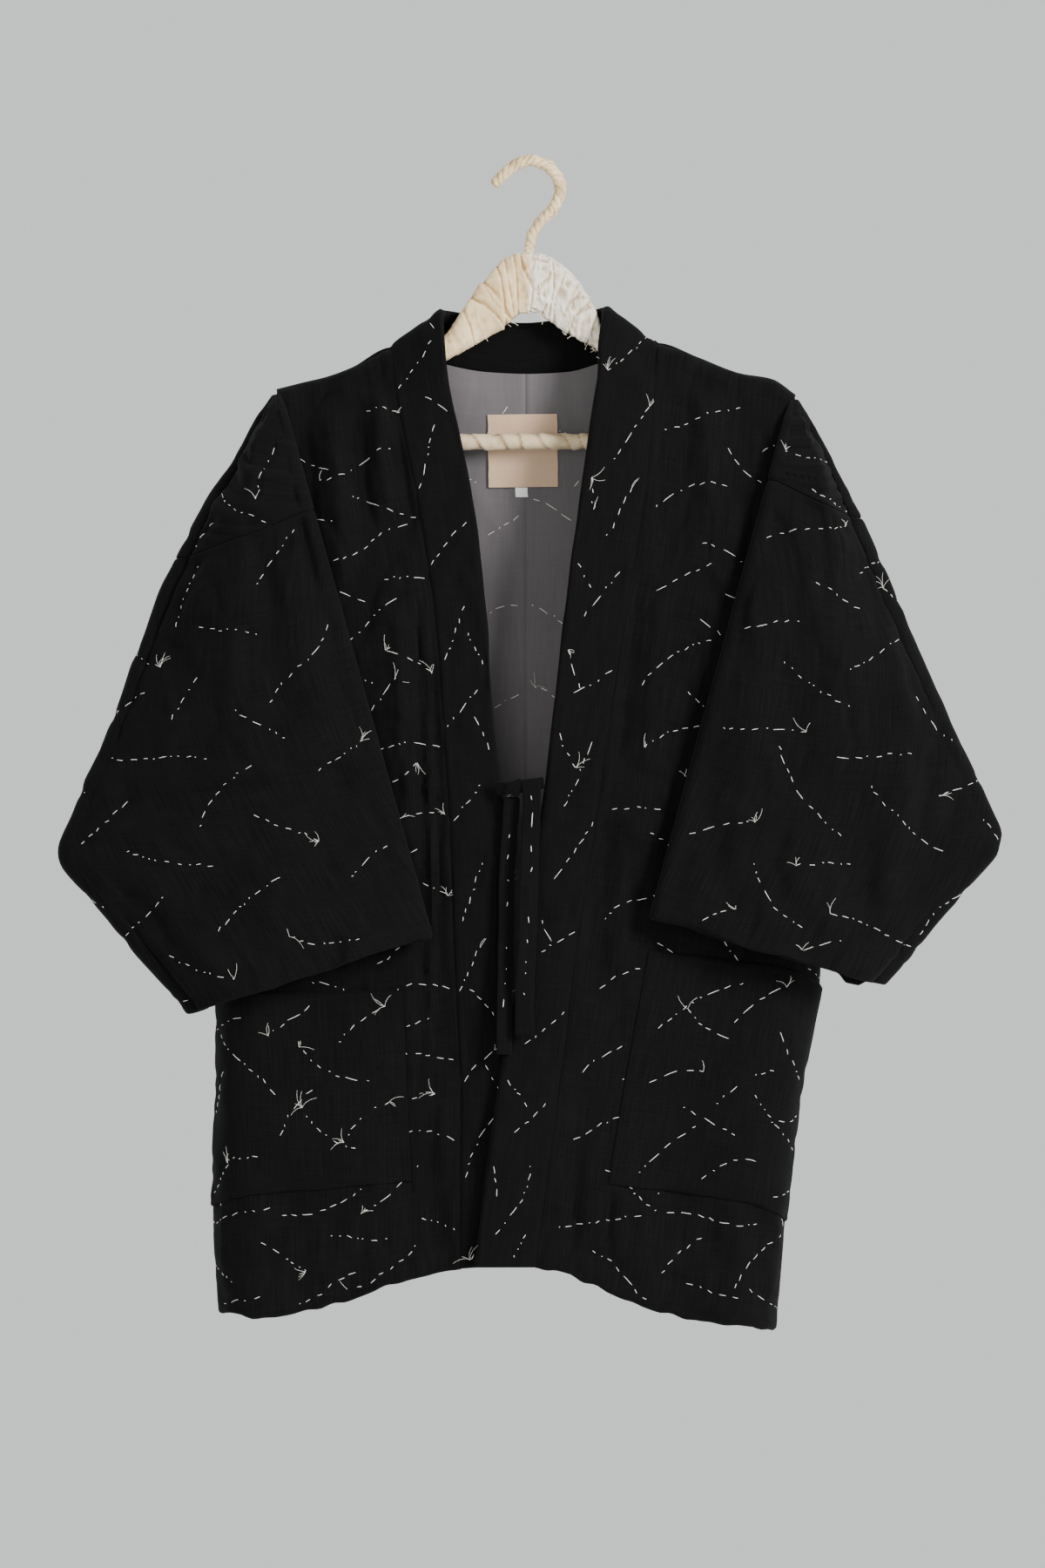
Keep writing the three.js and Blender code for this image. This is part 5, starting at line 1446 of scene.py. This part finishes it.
def make_tube(name, C, r, prof_fn, mat, m=36):
    tan = unit(np.gradient(C, axis=0))
    nx = np.array([0, 1.0, 0])
    b = unit(np.cross(tan, nx))
    c = np.cross(b, tan)
    acc = np.concatenate([[0], np.cumsum(np.linalg.norm(np.diff(C, axis=0), axis=1))])
    th = 2 * math.pi * np.arange(m) / m
    rr = prof_fn(acc[:, None], th[None], acc[-1])
    V = C[:, None] + rr[..., None] * (b[:, None] * np.cos(th)[None, :, None] + c[:, None] * np.sin(th)[None, :, None])
    n = len(C)
    k, j = np.meshgrid(np.arange(n - 1), np.arange(m), indexing="ij")
    k, j = k.ravel(), j.ravel()
    f = np.stack([k * m + j, k * m + (j + 1) % m, (k + 1) * m + (j + 1) % m, (k + 1) * m + j], 1)
    faces = [tuple(q) for q in f] + [tuple(range(m))[::-1], tuple((n - 1) * m + np.arange(m))]
    ob = new_object(name, V.reshape(-1, 3), faces, mat, None, 75)
    fix_normals(ob)
    # painted shade: the grooves between the wound strands are darkened in the colour
    paint_crease_shade(ob, np.broadcast_to(rr, (n, m)).copy(), 1.6)
    place(ob, name)
    return ob


def end_round(acc, total, r):
    d = np.minimum(acc, total - acc)
    return np.sqrt(np.clip(1 - (1 - np.clip(d / r, 0, 1)) ** 2, 0, 1)) * 0.93 + 0.07


def make_hanger():
    make_arms()
    bar = np.array([(float(X(a)), 0, float(Z(h))) for a, h in [(351, 501), (356, 504.5), (364, 506), (450, 506), (560, 506), (660, 506), (780, 506), (864, 506), (872, 504.5), (877, 501)]])
    seg = np.concatenate([[0], np.cumsum(np.linalg.norm(np.diff(bar, axis=0), axis=1))])
    at = np.interp(np.linspace(0, seg[-1], 330), seg, np.arange(len(seg)))
    C = np.stack([np.interp(at, np.arange(len(bar)), bar[:, k]) for k in range(3)], -1)

    def bar_prof(x, th, total):
        ph = x / 17.0 + th / (2 * math.pi) + 0.25 * vnoise(x, th * 3, 12, 811)
        saw = ph % 1.0
        return (BAR_R - 1.0 + 1.5 * smooth(0, 0.05, saw) * (1 - 0.8 * saw) + 0.35 * vnoise(x, th * 6, 7, 812) + 0.16 * vnoise(x, th * 6, 3, 813)) * end_round(x, total, 4)

    make_tube("hanger_bar", C, BAR_R, bar_prof, WRAP2, 32)
    hk = np.array([(float(X(a)), 0, float(Z(h))) for a, h in [(566, 211), (577, 199), (593, 187), (610, 182), (627, 187), (640, 201), (643, 219), (635, 237), (621, 252), (611, 268), (607, 290)]])
    C = spline(hk, np.linspace(0, len(hk) - 1, 420))

    def hook_prof(x, th, total):
        ph = x / 5.6 - 3 * th / (2 * math.pi) + 0.3 * vnoise(x, th * 3, 9, 821)
        gr = np.abs(((ph % 1.0) - 0.5) * 2)
        strand = np.sqrt(np.clip(1 - gr ** 2, 0, 1))
        ph2 = x / 1.5 - 9 * th / (2 * math.pi) + 0.5 * vnoise(x, th * 3, 6, 824)
        return (HOOK_R - 1.7 + 0.95 * strand + 0.14 * np.sin(2 * math.pi * ph2) + 0.75 * vnoise(x, th * 4, 6, 822) + 0.35 * vnoise(x, th * 5, 2.4, 823)) * (0.90 + 0.10 * smooth(total, total * 0.5, x)) * end_round(x, total, 3)

    make_tube("hanger_hook", C, HOOK_R, hook_prof, WRAP3, 44)


# ---------------------------------------------------------------- make it all
fronts = {}
for S in (L_, R_):
    fronts[S.key] = make_panel(S, False)
    make_panel(S, True)
    make_pocket(fronts[S.key])
    make_sleeve(S)
    make_lining(S)
make_collar()
lab, LP, _, _ = patch("label", [(560, 474), (640, 473), (641, 557), (561, 558)], LABEL, 1.0, 0.8, 0.9, "label", 34)
declare(LP, False)
tab, TP, _, _ = patch("size_tab", [(592, 558), (606, 558), (606, 569), (592, 569)], TAB, 1.0, 0.6, 0.2, "size_tab", 10)
declare(TP, False)
make_tie("tie_1", [(609.5, 895, -78), (610, 915, -81.5), (609, 960, -81.5), (607, 1020, -83), (605, 1080, -85), (603, 1130, -87), (602.5, 1187, -88)], TIE_W, 0.8, 61)
make_tie("tie_2", [(588, 915, -71), (585, 960, -70), (582, 1010, -69.5), (581, 1060, -71), (580, 1110, -74.5), (579.5, 1145, -78.5), (579, 1209, -80.2)], TIE_W - 2, 0.5, 67)
make_knot()
make_hanger()
print("stitches", tally)
tris = sum(sum(len(p.vertices) - 2 for p in o.data.polygons) for o in bpy.data.objects if o.type == "MESH")
print("triangles", tris)

# ---------------------------------------------------------------- stage and light
floor_me = bpy.data.meshes.new("floor")
floor_me.from_pydata([(-13, -15, -1.65), (13, -15, -1.65), (13, 7.5, -1.65), (-13, 7.5, -1.65)], [], [(0, 1, 2, 3)])
floor = bpy.data.objects.new("floor", floor_me)
bpy.context.scene.collection.objects.link(floor)
fm, fnt, fb = nodes_of("pale_floor")
fb.inputs["Base Color"].default_value = (0.72, 0.735, 0.73, 1)
fb.inputs["Roughness"].default_value = 0.9
floor_me.materials.append(fm)

world = bpy.data.worlds.new("world")
bpy.context.scene.world = world
world.use_nodes = True
bg = world.node_tree.nodes["Background"]
bg.inputs[0].default_value = (0.61, 0.632, 0.624, 1)
bg.inputs[1].default_value = 1.42


def area(name, loc, target, size, power, col=(1, 1, 1)):
    from mathutils import Vector
    l = bpy.data.lights.new(name, "AREA")
    l.shape = "RECTANGLE"
    l.size, l.size_y = size
    l.energy = power
    l.color = col
    ob = bpy.data.objects.new(name, l)
    bpy.context.scene.collection.objects.link(ob)
    ob.location = loc
    ob.visible_camera = False
    ob.rotation_euler = (Vector(target) - Vector(loc)).to_track_quat("-Z", "Y").to_euler()
    return ob


area("window", (2.75, -3.1, 0.95), (0, 0, -0.5), (1.1, 1.6), 320, (0.99, 0.99, 1.0))
area("fill", (-0.7, -4.2, -0.2), (0, 0, -0.5), (1.6, 2.0), 62, (1.0, 0.99, 0.97))
